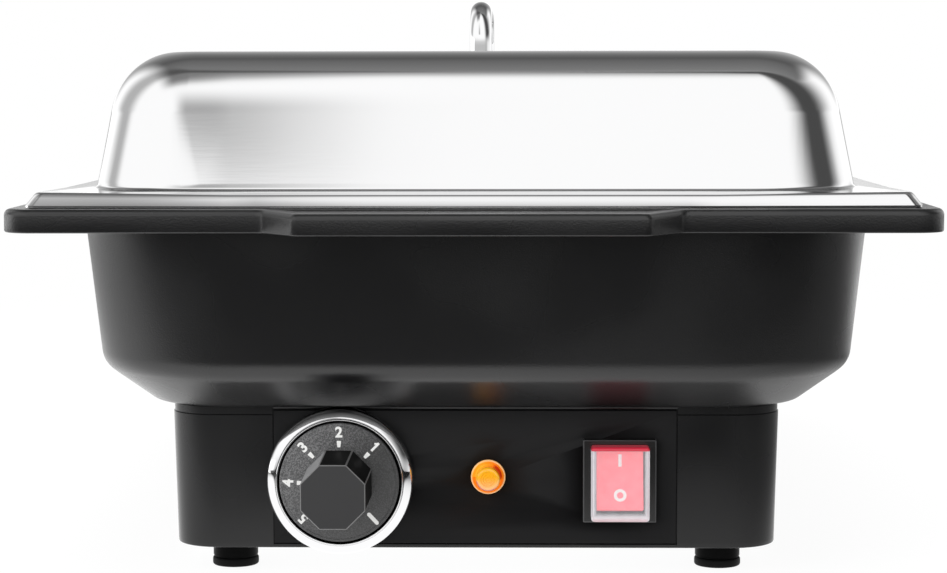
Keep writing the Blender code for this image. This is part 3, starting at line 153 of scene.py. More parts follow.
HANDLE_RADIUS = 0.0051
HANDLE_BEND = 0.014
PANEL_WIDTH = 0.162
PANEL_MARGIN = 0.0018
PANEL_THICKNESS = 0.0017
PANEL_EDGE = 0.00035
PANEL_SEAT_LIP = 0.005
COLLAR_HOLE_RADIUS = 0.0053
LAMP_HOLE_RADIUS = 0.0051
SWITCH_HOLE_REACH = 0.0012
DIAL_FACE = 0.0092
GRIP_HEIGHT = 0.034
GRIP_ACROSS = 0.026
GRIP_TAPER = 0.0008
GRIP_SIDES = 8
GRIP_SINK = 0.001
GRIP_EDGE = 0.0004
MARK_LIFT = 0.00006
MARK_HALF_THICKNESS = 0.00004
NUMBER_ANGLES = (45, 90, 135, 180, 225)
NUMBER_RADIUS = 0.0202
NUMBER_SIZE = 0.0058
NUMBER_BOLDNESS = 0.034
NUMBER_HALF_THICKNESS = 0.00005
FLAG_HALF_SIZE = (0.0008, 0.00034, 0.00005)
FLAG_PLACE = (-0.00055, 0.00150, 0)
FLAG_TURN = math.radians(45)
TICK = (0.0143, 0.0169, 0.00062, 0.00088)
TICK_CUT = 0.0002
OFF_BAR = (0.0166, 0.0228, 0.00078, 0.00078)
OFF_BAR_CUT = 0.00055
OFF_ANGLE = -47
SWITCH_WIDTH = 0.0294
SWITCH_HEIGHT = 0.0333
SWITCH_FRAME_DEPTH = 0.005
SWITCH_FRAME_EDGE = 0.0005
SWITCH_OPENING_WIDTH = 0.0202
SWITCH_OPENING_HEIGHT = 0.0270
BOOT_WALL = 0.0009
BOOT_SIDE_REACH = 0.0006
BOOT_DEPTH = 0.0085
BOOT_EDGE = 0.0013
BOOT_INNER_EDGE = 0.0008
ROCKER_SIDE_GAP = 0.0008
ROCKER_END_GAP = 0.0013
ROCKER_RISE = 0.0062
ROCKER_DIP = 0.0012
ROCKER_BACK = 0.0015
ROCKER_NOSE = 0.006
ROCKER_EDGE = 0.0005
ROCKER_PIVOT_DEPTH = 0.0025
ROCKER_THROW = math.radians(24)
ROCKER_MARK_SINK = 0.0001
ROCKER_MARK_RISE = 0.00008
ON_MARK_HALF_WIDTH = 0.00065
ON_MARK_ENDS = (0.0053, 0.0102)
ON_MARK_EDGE = 0.00005
OFF_MARK_RADII = (0.0013, 0.0025)
OFF_MARK_PLACE = -0.0062
GLAND_X = 0.060
GLAND_THREAD = 0.008
GLAND_ACROSS = 0.0188
GLAND_EDGE = 0.0004
GLAND_FLANGE_DEPTH = 0.005
GLAND_RIB_DEPTH = 0.0004
GLAND_RIB_RADIUS = 0.009
GLAND_RIB_EVERY = 8
GLAND_RIB_STEPS = 2
# Reach of the cutting tools past what they cut, outwards and inwards
TOOL_REACH = 0.002
PANEL_TOOL_REACH = 0.004
GLAND_TOOL_REACH = 0.006

# Heights and places that follow
BASE_TOP = FOOT_HEIGHT + BASE_HEIGHT
TUB_BOTTOM = BASE_TOP + GAP
RIM_BOTTOM = TUB_BOTTOM + BOWL_HEIGHT
RIM_TOP = RIM_BOTTOM + RIM_HEIGHT
LEDGE_LEVEL = RIM_TOP - REBATE_DEPTH
LID_BOTTOM = RIM_TOP + GAP
LID_TOP = LID_BOTTOM + LID_HEIGHT
LID_CREASE = LID_BOTTOM + LID_SKIRT_HEIGHT
PANEL_FRONT = -(PAN_LENGTH / 2 + BASE_OFFSET)
PANEL_LOW = FOOT_HEIGHT + PANEL_MARGIN
PANEL_HIGH = BASE_TOP - PANEL_MARGIN


def middle(node, axis):
    return sum(corner[axis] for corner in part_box(node)) / 2


KNOB_X = middle("knob_bezel", 0)
CONTROL_Z = middle("knob_bezel", 2)
LAMP_X = middle("pilot_lens", 0)
LAMP_Z = middle("pilot_lens", 2)
SWITCH_X = middle("switch_frame", 0)

# What polished metal sees round the object. Angles are in degrees: over goes from the front horizon over the
# top to the back, around from the front to the right, height up from the horizon. A pair is a ramp's ends, and
# four numbers are a band.
CEILING_LEVELS = [
    (72, 1.0), (77, 0.97), (81, 0.82), (85, 0.53), (90, 0.31), (94, 0.20), (107, 0.16), (118, 0.13),
    (127, 0.09), (139, 0.14), (148, 0.20), (155, 0.28), (168, 0.40), (172, 0.65), (176, 1.0),
]
REFLECTED_LEVEL = 1.38
DIFFUSE_LEVEL = 0.72
CEILING_TILT = 15.0
TILT_SIDE = (-0.19, -0.05)
TILT_OVER = (76.0, 106.0)
LEFT_OPEN = (-40.0, -22.0)
RIGHT_OPEN = (22.0, 42.0)
RIGHT_OPEN_HEIGHT = (32.0, 52.0)
CARD_AROUND = (36.0, 70.0, 86.0, 132.0)
CARD_HEIGHT = (-4.0, 16.0)
CARD_LEVEL = 0.065
BLOB_SIDE = (-0.45, -0.15, -0.14, -0.045)
BLOB_HEIGHT = (20.8, 22.3, 22.9, 62.0)
BLOB_FRONT = (0.0, 0.2)
BLOB_DEPTH = 0.62
STRIP_AROUND = (-136.0, -112.0, -104.0, -82.0)
STRIP_HEIGHT = (5.0, 11.0)
STRIP_DEPTH = 0.55
BEHIND_AROUND = (150.0, 164.0)
BEHIND_HEIGHT = (0.5, 3.5)
BEHIND_DEPTH = 0.6
LOW_FRONT = (0.1, 0.5)
LOW_FRONT_HEIGHT = (-8.0, 14.0)
LOW_FRONT_LEVEL = 0.25
SOFTBOX_AROUND = (-125.0, -105.0, -80.0, -62.0)
SOFTBOX_HEIGHT = (5.0, 9.0)
SOFTBOX_GAIN = 1.8

# What polished metal sees of the floor: start and end in metres, and the levels there
FLOOR_NEAR = (-0.46, -0.34, 0.07, 1.0)
FLOOR_LEFT = (-0.95, -0.35, 0.25, 1.0)
FLOOR_FAR_LEFT = (-1.25, -0.98, 7.0, 1.0)
FLOOR_RIGHT = (0.0, 0.40, 1.0, 0.18)
FLOOR_RIGHT_BACK = (-0.1, 0.5, 0.0, 0.8)
FLOOR_BACK = (1.1, 1.8, REFLECTED_LEVEL, 0.3 * REFLECTED_LEVEL)
# The floor as the camera sees it fades to plain white between these distances
FLOOR_FADE = (0.50, 1.10)
FLOOR_GLOW = 0.93
FLOOR_SHADE = 0.10
FLOOR_WHITE = 0.75
FLOOR_REACH = 6.0

# Fineness of the surfaces
CORNER_STEPS = 20
TURN_STEPS = 96
SMALL_TURN_STEPS = 48
BEND_STEPS = 10
FILLET_STEPS = 8
ROUND_STEPS = 4
SUPPORT = 0.0015
LONG_STATIONS = 10
MIDDLE_STATIONS = 8


# Node helpers


class Nodes:
    """Short calls for building a node tree."""

    def __init__(self, tree, shader=None):
        self.tree = tree
        self.shader = shader

    def new(self, kind, inputs=(), **settings):
        """A node with its settings made and its inputs set by name or number."""
        node = self.tree.nodes.new("ShaderNode" + kind)
        for name, value in settings.items():
            setattr(node, name, value)
        for name, value in dict(inputs).items():
            self.set(node.inputs[name], value)
        return node

    def set(self, socket, value):
        if isinstance(value, bpy.types.NodeSocket):
            self.tree.links.new(value, socket)
        else:
            socket.default_value = value

    def shade(self, **values):
        """Set sockets of the surface shader, with _ for each space in a name."""
        for name, value in values.items():
            self.set(self.shader.inputs[name.replace("_", " ")], value)

    def math(self, operation, *values):
        return self.new("Math", enumerate(values), operation=operation).outputs[0]

    def times(self, first, *others):
        for other in others:
            first = self.math("MULTIPLY", first, other)
        return first

    def minus(self, first, second):
        return self.math("SUBTRACT", first, second)

    def degrees(self, operation, *values):
        return self.math("DEGREES", self.math(operation, *values))

    def length(self, first, second):
        squares = [self.math("POWER", value, 2.0) for value in (first, second)]
        return self.math("SQRT", self.math("ADD", *squares))

    def ramp(self, value, low, high, start=0.0, end=1.0):
        """Smooth step of a value from low to high."""
        inputs = enumerate((value, low, high, start, end))
        return self.new("MapRange", inputs, interpolation_type="SMOOTHSTEP").outputs[0]

    def fall(self, value, low, high):
        return self.ramp(value, low, high, 1.0, 0.0)

    def band(self, value, low, rise, fall, high):
        """1 between rise and fall, 0 below low and above high."""
        return self.times(self.ramp(value, low, rise), self.fall(value, fall, high))

    def table(self, value, stops):
        """Straight lines between (place, level) stops, with places from 0 to 1."""
        node = self.new("ValToRGB", {0: value})
        elements = node.color_ramp.elements
        for element, (place, level) in zip(elements, (stops[0], stops[-1])):
            element.position = place
            element.color = (level, level, level, 1.0)
        for place, level in stops[1:-1]:
            elements.new(place).color = (level, level, level, 1.0)
        return node.outputs[0]

    def blend(self, share, first, second):
        return self.new("Mix", {0: share, 2: first, 3: second}, data_type="FLOAT").outputs[0]

    def blend_colors(self, share, first, second):
        """A mix of two colours, each a socket or three numbers."""
        first, second = ((*color, 1.0) if isinstance(color, tuple) else color for color in (first, second))
        return self.new("Mix", {0: share, 6: first, 7: second}, data_type="RGBA").outputs[2]

    def place(self, kind="Object"):
        return self.new("TexCoord").outputs[kind]

    def split(self, vector):
        return self.new("SeparateXYZ", {0: vector}).outputs[:3]

    def offsets(self, x, z):
        """How far to the right of x and above z a point of the piece lies."""
        right, _, up = self.split(self.place())
        return self.minus(right, x), self.minus(up, z)

    def noise(self, scale, detail=2.0, vector=None):
        inputs = {"Vector": vector or self.place(), "Scale": scale, "Detail": detail}
        return self.new("TexNoise", inputs).outputs[0]

    def bump(self, height, depth, normal=None):
        inputs = {"Strength": 1.0, "Distance": depth, "Height": height}
        if normal:
            inputs["Normal"] = normal
        return self.new("Bump", inputs).outputs[0]


# Materials

GLOSS_SPREAD = 0.05
MOULDED_WAVE = 0.00012
STEEL_GRAIN = (60.0, 900.0, 900.0)
STEEL_WAVE = 0.0003


def new_material(name, color, roughness, metallic=0.0, **more):
    mat = bpy.data.materials.new(name)
    mat.use_nodes = True
    nodes = Nodes(mat.node_tree, mat.node_tree.nodes["Principled BSDF"])
    nodes.shade(Base_Color=(*color, 1.0), Roughness=roughness, Metallic=metallic, **more)
    return mat, nodes


def moulded(name, color, roughness, grain=2600.0, depth=0.00002, **more):
    """Moulded plastic: fine sparkling grain, a slow waviness and uneven gloss."""
    mat, nodes = new_material(name, color, roughness, **more)
    fine = nodes.noise(grain, 3.0)
    slow = nodes.noise(22.0, 1.0)
    darker = tuple(channel * 0.8 for channel in color)
    nodes.shade(
        Roughness=nodes.ramp(slow, 0.3, 0.7, roughness - GLOSS_SPREAD, roughness + GLOSS_SPREAD),
        Base_Color=nodes.blend_colors(fine, darker, color),
        Normal=nodes.bump(fine, depth, nodes.bump(slow, MOULDED_WAVE)),
    )
    return mat


def sheet_steel(name, color, roughness, depth=0.000002):
    """Polished sheet steel: faint drawn lines, a slow waviness and patches of handling."""
    mat, nodes = new_material(name, color, roughness, 1.0)
    drawn = nodes.new("Mapping", {"Vector": nodes.place(), "Scale": STEEL_GRAIN}).outputs[0]
    lines = nodes.noise(1.0, 2.0, drawn)
    nodes.shade(
        Roughness=nodes.ramp(nodes.noise(14.0), 0.35, 0.75, roughness, roughness * 1.35),
        Normal=nodes.bump(lines, depth, nodes.bump(nodes.noise(9.0, 1.0), STEEL_WAVE)),
    )
    return mat


def cast_metal(name, color, roughness):
    mat, nodes = new_material(name, color, roughness, 1.0)
    fine = nodes.noise(700.0)
    nodes.shade(
        Roughness=nodes.ramp(fine, 0.3, 0.7, roughness * 0.8, roughness * 1.25),
        Normal=nodes.bump(fine, 0.00001),
    )
    return mat


def dial_material():
    """Grained plastic with bright grains, and a painted sheen that makes it paler towards the dial's upper
    left.
    """
    mat, nodes = new_material("dial_grained_plastic_painted_sheen", (0.06, 0.06, 0.06), 0.42, Specular_IOR_Level=0.9)
    across, up = nodes.offsets(KNOB_X, CONTROL_Z)
    # how far towards the upper left, where the painted sheen is palest
    toward_painted_sheen = nodes.minus(nodes.times(up, 0.8), across)
    grain = nodes.noise(1900.0, 3.0)
    sparkle = nodes.ramp(grain, 0.38, 0.66, 0.45, 1.6)
    # painted sheen: the colour grows paler towards the dial's upper left, times the grain
    level = nodes.times(nodes.ramp(toward_painted_sheen, -0.012, 0.024, 0.032, 0.135), sparkle)
    nodes.shade(
        Base_Color=nodes.blend_colors(level, (0.0, 0.0, 0.0), (1.0, 1.0, 1.02)),
        Normal=nodes.bump(grain, 0.00014),
    )
    return mat


def grip_material():
    """Plain plastic, with painted shade that darkens the octagon's side walls, but for the upper left one,
    which a painted highlight makes paler.
    """
    plain = (0.054, 0.054, 0.055)
    mat, nodes = new_material("grip_plastic_painted_light", plain, 0.55, Specular_IOR_Level=0.05)
    across, outward, up = nodes.split(nodes.place("Normal"))
    facing = nodes.ramp(nodes.math("ABSOLUTE", outward), 0.5, 0.9)
    # painted shade darkens the side walls, and a painted highlight makes the upper left wall paler
    painted_lit_wall = nodes.ramp(nodes.minus(up, across), 1.1, 1.4)
    wall = nodes.blend_colors(painted_lit_wall, (0.003, 0.003, 0.003), (0.34, 0.34, 0.345))
    nodes.shade(
        Base_Color=nodes.blend_colors(facing, wall, plain),
        Normal=nodes.bump(nodes.noise(3000.0), 0.000008),
    )
    return mat


def lens_material():
    """Amber plastic, coloured by how far from its axis, in millimetres, and on which side a point lies: the
    flange is paler on its upper left by painted light, with a painted reflection in purple at the lower left,
    a painted shadow at the upper right between dome and flange, and a painted highlight along the flange's
    rim.
    """
    mat, nodes = new_material("pilot_amber", (1.0, 0.36, 0.03), 0.10, Coat_Weight=0.5, Coat_Roughness=0.05)
    x, z = nodes.offsets(LAMP_X, LAMP_Z)
    radius = nodes.times(nodes.length(x, z), 1000.0)
    turn = nodes.degrees("ARCTAN2", z, x)
    face = nodes.blend_colors(nodes.fall(z, -0.0035, 0.0015), (0.90, 0.42, 0.01), (1.0, 0.47, 0.15))
    rings = nodes.ramp(nodes.math("SINE", nodes.times(radius, 7.5)), 0.3, 1.0)
    rings = nodes.times(rings, nodes.ramp(radius, 2.6, 3.8, 0.30, 0.0))
    # painted light: the flange paler on its upper left side
    flange = nodes.blend_colors(nodes.ramp(turn, 60.0, 130.0), (0.95, 0.28, 0.01), (1.0, 0.45, 0.03))
    edge = nodes.band(radius, 3.9, 4.4, 4.7, 5.0)
    # painted reflection in purple at the lower left
    painted_purple_reflection = nodes.times(edge, nodes.band(turn, -178.0, -165.0, -60.0, -35.0), 0.8)
    # painted shadow at the upper right, between dome and flange
    painted_shadow = nodes.times(nodes.band(radius, 4.5, 4.9, 5.3, 5.8), nodes.band(turn, -20.0, 5.0, 50.0, 75.0))
    color = face
    # the last colour is a painted highlight along the flange's rim
    for share, over in (
            (rings, (0.62, 0.24, 0.01)), (nodes.ramp(radius, 4.55, 4.95), flange),
            (painted_purple_reflection, (0.62, 0.16, 0.14)), (painted_shadow, (0.50, 0.03, 0.003)),
            (nodes.ramp(radius, 6.35, 6.6), (1.0, 0.56, 0.24))):
        color = nodes.blend_colors(share, color, over)
    nodes.shade(Base_Color=color, Emission_Color=color, Emission_Strength=0.28)
    return mat


def rocker_material():
    mat, nodes = new_material("rocker_lit_red", (0.86, 0.14, 0.18), 0.30, Coat_Weight=0.3)
    glow = nodes.blend_colors(nodes.noise(260.0), (0.95, 0.10, 0.14), (1.0, 0.20, 0.22))
    nodes.shade(Emission_Color=glow, Emission_Strength=0.38)
    return mat


def boot_material():
    """Clear silicone: thin across its front, milky at its lower end and sides, with a painted red glow of the
    rocker along its top, and its colour painted on as a glow.
    """
    mat, nodes = new_material(
        "boot_clear_silicone_painted_glow", (0.80, 0.80, 0.84), 0.14, IOR=1.42, Coat_Weight=0.4, Coat_Roughness=0.1,
    )
    _, outward, upward = nodes.split(nodes.place("Normal"))
    across, up = nodes.offsets(SWITCH_X, CONTROL_Z)
    # where the painted red glow of the rocker lies along the boot's top
    top = nodes.math("MAXIMUM", nodes.ramp(upward, 0.80, 0.97), nodes.ramp(up, 0.0132, 0.0137))
    sides = nodes.ramp(nodes.math("ABSOLUTE", across), 0.0088, 0.0102, 0.0, 0.40)
    milky = nodes.math("MAXIMUM", nodes.ramp(up, -0.0142, -0.0104, 0.60, 0.10), sides)
    thin = nodes.ramp(nodes.math("ABSOLUTE", outward), 0.35, 0.97, 0.85, 0.14)
    alpha = nodes.math("MAXIMUM", thin, nodes.math("MAXIMUM", milky, top))
    color = nodes.blend_colors(top, (0.74, 0.74, 0.77), (0.52, 0.02, 0.045))
    # the boot's colour also glows: painted light
    nodes.shade(
        Base_Color=color, Emission_Color=color, Emission_Strength=0.36,
        Alpha=nodes.math("ADD", alpha, nodes.ramp(nodes.noise(320.0), 0.3, 0.7, -0.02, 0.02)),
        Normal=nodes.bump(nodes.noise(500.0, 1.0), 0.00005),
    )
    return mat


MATS = {
    "tub": moulded("tub_black_plastic", (0.0080, 0.0080, 0.0084), 0.28, 1500.0, 0.00008,
                   Specular_IOR_Level=0.6),
    "base": moulded("base_black_plastic", (0.0068, 0.0068, 0.0072), 0.27, Specular_IOR_Level=0.38),
    "panel": moulded("panel_black_plastic", (0.0170, 0.0170, 0.0176), 0.42, 3400.0, 0.00001,
                     Specular_IOR_Level=0.08),
    "frame": moulded("switch_frame_black", (0.010, 0.010, 0.010), 0.24, 3400.0, 0.000005),
    "foot": moulded("foot_black_plastic", (0.003, 0.003, 0.003), 0.40, depth=0.00001,
                    Specular_IOR_Level=0.04),
    # Painted highlight: a paler colour on the grip's bevelled edges
    "painted_edge_highlight": moulded("grip_edge_painted_highlight", (0.20, 0.20, 0.20), 0.40, 3000.0, 0.000008),
    # Painted highlight: a paler colour on the switch frame's bevelled edges
    "frame_edge_painted_highlight": moulded("frame_edge_painted_highlight", (0.060, 0.060, 0.062), 0.35, 3000.0, 0.000008),
    "rubber": moulded("foot_rubber", (0.004, 0.004, 0.004), 0.60, 900.0, Specular_IOR_Level=0.1),
    # White print, with a painted glow that keeps it white in shade
    "print_with_painted_glow": moulded("white_print_painted_glow", (0.66, 0.66, 0.65), 0.50, 5000.0, 0.000002,
                     Emission_Color=(1.0, 1.0, 0.98, 1.0), Emission_Strength=0.36),
    "pale": moulded("pale_ceramic", (0.60, 0.58, 0.53), 0.55, 900.0),
    "lid": sheet_steel("lid_polished_steel", (0.70, 0.70, 0.703), 0.08),
    "pan": sheet_steel("pan_steel", (0.62, 0.62, 0.625), 0.22, 0.000005),
    "chrome": sheet_steel("bezel_chrome", (0.71, 0.71, 0.715), 0.045, 0.0000005),
    "zinc": cast_metal("zinc_plate", (0.50, 0.51, 0.52), 0.36),
    "aluminium": cast_metal("heater_aluminium", (0.62, 0.63, 0.64), 0.40),
    "copper": cast_metal("sensor_copper", (0.76, 0.46, 0.32), 0.30),
    "dial": dial_material(),
    "grip": grip_material(),
    "lens": lens_material(),
    "rocker": rocker_material(),
    "boot": boot_material(),
}


# Mesh helpers


def clamped(value):
    return min(1.0, max(0.0, value))


def smooth(share):
    return share * share * (3 - 2 * share)


def add_object(name, data):
    piece = bpy.data.objects.new(name, data)
    bpy.context.scene.collection.objects.link(piece)
    return piece


def add_mesh(name, points, faces, mat, sharp=35.0):
    mesh = bpy.data.meshes.new(name)
    mesh.from_pydata([tuple(map(float, point)) for point in points], [], faces)
    mesh.update()
    mesh.shade_smooth()
    mesh.set_sharp_from_angle(angle=math.radians(sharp))
    mesh.materials.append(MATS[mat] if isinstance(mat, str) else mat)
    return add_object(name, mesh)


def finish_piece(piece, body, slot, *replaced):
    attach(piece, body)
    if replaced:
        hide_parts(*replaced)


def bevel(piece, width, segments=3, angle=30.0, mat=None):
    change = piece.modifiers.new("edges", "BEVEL")
    if mat:
        piece.data.materials.append(MATS[mat])
        change.material = 1
    change.width = width
    change.segments = segments
    change.limit_method = "ANGLE"
    change.angle_limit = math.radians(angle)
    change.harden_normals = True
    return piece


def final_mesh(piece):
    bpy.context.view_layer.update()
    graph = bpy.context.evaluated_depsgraph_get()
    return bpy.data.meshes.new_from_object(piece.evaluated_get(graph))


def apply_modifiers(piece):
    mesh = final_mesh(piece)
    old = piece.data
    piece.modifiers.clear()
    piece.data = mesh
    bpy.data.meshes.remove(old)
    return piece


def cut_out(piece, *tools):
    """Cut the tools out of the piece, bake its modifiers into the mesh and drop the tools."""
    for tool in tools:
        change = piece.modifiers.new("cut_" + tool.name, "BOOLEAN")
        change.object = tool
        change.operation = "DIFFERENCE"
        change.solver = "EXACT"
    apply_modifiers(piece)
    for tool in tools:
        bpy.data.objects.remove(tool, do_unlink=True)
    return piece


def seat_at(x, z, depth=PANEL_FRONT, turn=math.pi / 2):
    """Local X along the panel, Y up, Z out of the front."""
    return Matrix.Translation((x, depth, z)) @ Matrix.Rotation(turn, 4, "X")


BACK_SEAT = seat_at(GLAND_X, CONTROL_Z, -PANEL_FRONT, -math.pi / 2)


def moved(piece, matrix):
    piece.data.transform(matrix)
    return piece


def skin(name, rows, mat, capped=False, sharp=35.0):
    """Join rows of points, each anticlockwise round the piece. A row of one point is a tip.

    The last row joins the first, or with capped both are closed by a flat face.
    """
    count = max(len(row) for row in rows)
    points = [point for row in rows for point in row]
    numbers = []
    start = 0
    for row in rows:
        numbers.append([start + step % len(row) for step in range(count)])
        start += len(row)
    faces = []
    for lower, upper in zip(numbers, numbers[1:] if capped else numbers[1:] + numbers[:1]):
        for i in range(count):
            j = (i + 1) % count
            face = list(dict.fromkeys((lower[i], lower[j], upper[j], upper[i])))
            if len(face) > 2:
                faces.append(face)
    if capped:
        faces += [numbers[0][::-1], numbers[-1]]
    return add_mesh(name, points, faces, mat, sharp)


def circle(radius, steps, start=0.0):
    angles = [math.tau * (step + start) / steps for step in range(steps)]
    return [(radius * math.cos(a), radius * math.sin(a)) for a in angles]


def lathe(name, profile, mat, steps=SMALL_TURN_STEPS, sharp=35.0):
    """Turn a closed (radius, height) profile, listed up its outer side, about local Z."""
    rows = [[(x, y, height) for x, y in circle(radius, steps if radius else 1)] for radius, height in profile]
    return skin(name, rows, mat, sharp=sharp)


def drill(name, radius, low, high, mat, seat):
    return moved(lathe(name, [(0, low), (radius, low), (radius, high), (0, high)], mat), seat)


def prism(name, sides, low_across, high_across, low, high, mat):
    widen = 2 * math.cos(math.pi / sides)
    rows = [[(x, y, height) for x, y in circle(across / widen, sides, 0.5)]
            for across, height in ((low_across, low), (high_across, high))]
    return skin(name, rows, mat, capped=True)


def box(name, low, high, mat):
    corners = [(low[0], low[1]), (high[0], low[1]), (high[0], high[1]), (low[0], high[1])]
    return skin(name, [[(x, y, z) for x, y in corners] for z in (low[2], high[2])], mat, capped=True)


def arc(center, radius, start, end, steps):
    angles = [start + (end - start) * step / steps for step in range(steps + 1)]
    return [(center[0] + radius * math.cos(a), center[1] + radius * math.sin(a)) for a in angles]


def with_support(section):
    """Add a point close to each end of every long straight stretch, so flat walls stay flat when smoothed."""
    result = [section[0]]
    for first, second in zip(section, section[1:]):
        length = math.dist(first, second)
        if length > 3 * SUPPORT:
            for share in (SUPPORT / length, 1 - SUPPORT / length):
                result.append(tuple(a + (b - a) * share for a, b in zip(first, second)))
        result.append(second)
    return result


# Plan outlines: every one is the pan's rectangle moved out or in


def ledge_line():
    """(x, reach out, normal) along one half of the grip ledge's edge, from its root to its middle."""
    slope = math.atan2(LEDGE_REACH, LEDGE_ROOT - LEDGE_TIP)
    turn = math.tan(slope / 2)
    root = (LEDGE_ROOT + LEDGE_ROOT_FILLET * turn, LEDGE_ROOT_FILLET)
    tip = (LEDGE_TIP - LEDGE_TIP_FILLET * turn, LEDGE_REACH - LEDGE_TIP_FILLET)
    line = [(LEDGE_ROOT + LEDGE_LEAD, 0.0, 0.0, 1.0)]
    fillets = ((root, -LEDGE_ROOT_FILLET, 0, slope), (tip, LEDGE_TIP_FILLET, slope, 0))
    for center, radius, first, last in fillets:
        for step in range(FILLET_STEPS + 1):
            angle = first + (last - first) * step / FILLET_STEPS
            across = math.sin(angle)
            outward = math.cos(angle)
            line.append((center[0] + radius * across, center[1] + radius * outward, across, outward))
    inner = tip[0] - 2 * SUPPORT
    for step in range(MIDDLE_STATIONS + 1):
        line.append((inner * (1 - step / MIDDLE_STATIONS), LEDGE_REACH, 0.0, 1.0))
    return line


LEDGE_LINE = ledge_line()


def short_side(offset, inset, dip):
    """(x, distance from the middle, drop) of the points along one short side, from +X to -X."""
    half = []
    for x, out, across, outward in LEDGE_LINE:
        if inset is None:
            half.append((x, PAN_LENGTH / 2 + offset, 0.0))
        else:
            edge = PAN_LENGTH / 2 + RIM_OFFSET + out
            drop = dip * smooth(clamped(out / LEDGE_REACH))
            half.append((x - inset * across, edge - inset * outward, drop))
    return half + [(-x, y, drop) for x, y, drop in reversed(half[:-1])]


def plan_loop(offset, corner, z, narrow=0.0, inset=None, dip=0.0, lift=None):
    """Rounded rectangle, anticlockwise from above, narrower across than along by narrow on each side.

    inset says how far inside the rim's ledged edge it runs.
    """
    half_x = PAN_WIDTH / 2 + offset - narrow
    half_y = PAN_LENGTH / 2 + offset
    points = []
    for quarter, (side_x, side_y) in enumerate(((1, 1), (-1, 1), (-1, -1), (1, -1))):
        center = (side_x * (half_x - corner), side_y * (half_y - corner))
        start = quarter * math.pi / 2
        points += [(x, y, z) for x, y in arc(center, corner, start, start + math.pi / 2, CORNER_STEPS)]
        if quarter in (0, 2):
            points += [(side_x * x, side_y * y, z - drop) for x, y, drop in short_side(offset, inset, dip)]
        else:
            limit = half_y - corner - SUPPORT
            shares = [1 - 2 * step / LONG_STATIONS for step in range(LONG_STATIONS + 1)]
            points += [(side_x * half_x, side_y * limit * share, z) for share in shares]
    if lift:
        points = [(x, y, height + lift(x, y)) for x, y, height in points]
    return points


def distance_to(point, first, second):
    run = (second[0] - first[0], second[1] - first[1])
    share = ((point[0] - first[0]) * run[0] + (point[1] - first[1]) * run[1]) / (run[0] ** 2 + run[1] ** 2)
    share = clamped(share)
    return math.dist(point, (first[0] + share * run[0], first[1] + share * run[1]))


def inner_side(section, thickness):
    """The section moved to its left by thickness, with the points that a tight bend would fold left out."""
    stretches = list(zip(section, section[1:]))
    normals = []
    for first, second in stretches:
        length = math.dist(first, second)
        normals.append(((first[1] - second[1]) / length, (second[0] - first[0]) / length))
    result = []
    for point, before, after in zip(section, normals[:1] + normals, normals + normals[-1:]):
        scale = thickness / (1 + before[0] * after[0] + before[1] * after[1])
        inner = (point[0] + scale * (before[0] + after[0]), point[1] + scale * (before[1] + after[1]))
        if min(distance_to(inner, *stretch) for stretch in stretches) > 0.98 * thickness:
            result.append(inner)
    return result


def sheet(section, thickness):
    """Both sides of a pan's section, out along it and back."""
    section = with_support([(section[0][0] - FLOOR_EDGE, section[0][1])] + section)
    return section + inner_side(section, thickness)[::-1]


def bowl_section(inset):
    """(offset, z) of the bowl from its floor up to its bend."""
    bend_z = TUB_BOTTOM + BEVEL_HEIGHT
    wall_run = (RIM_BOTTOM - bend_z) * math.tan(BOWL_DRAFT)
    upper = (
        BOWL_OFFSET - wall_run - BOWL_BEND * math.cos(BOWL_DRAFT),
        bend_z + BOWL_BEND * math.sin(BOWL_DRAFT),
    )
    bevel_angle = BEVEL_SLOPE - math.pi / 2
    bend_end = (upper[0] + BOWL_BEND * math.cos(bevel_angle), upper[1] + BOWL_BEND * math.sin(bevel_angle))
    lower_z = TUB_BOTTOM + BOWL_FLOOR_BEND
    lower_end_z = lower_z + BOWL_FLOOR_BEND * math.sin(bevel_angle)
    lower_end = bend_end[0] - (bend_end[1] - lower_end_z) / math.tan(BEVEL_SLOPE)
    lower = (lower_end - BOWL_FLOOR_BEND * math.cos(bevel_angle), lower_z)
    floor = arc(lower, BOWL_FLOOR_BEND - inset, -math.pi / 2, bevel_angle, FILLET_STEPS)
    return floor + arc(upper, BOWL_BEND - inset, bevel_angle, -BOWL_DRAFT, BEND_STEPS)


def bowl_offset_at(z, inset):
    return BOWL_OFFSET + (z - RIM_BOTTOM) * math.tan(BOWL_DRAFT) - inset / math.cos(BOWL_DRAFT)


def bowl_loops(section):
    """Plan loops of the bowl, whose corner keeps its radius over the first of the wall's lean."""
    loops = []
    for offset, z in section:
        inwards = BOWL_OFFSET - offset
        turn = inwards if inwards < 0 else max(0.0, inwards - BOWL_CORNER_TURN)
        loops.append(plan_loop(offset, BOWL_CORNER - turn, z))
    return loops


# Tub and pans


def rim_loop(offset, z, dip=0.0):
    inset = RIM_OFFSET - offset
    return plan_loop(offset, RIM_CORNER - inset, z, inset=inset, dip=dip)


def groove_loop(offset, depth):
    """Loop on the rim's top, straight across the ledge, lowered there by depth."""
    reach = LEDGE_ROOT - LEDGE_GROOVE_INSET
    lowered = []
    for x, y, z in plan_loop(offset, RIM_CORNER - RIM_OFFSET + offset, RIM_TOP):
        share = clamped((reach - abs(x)) / LEDGE_GROOVE_FADE) if abs(y) > PAN_LENGTH / 2 else 0.0
        lowered.append((x, y, z - depth * smooth(share)))
    return lowered


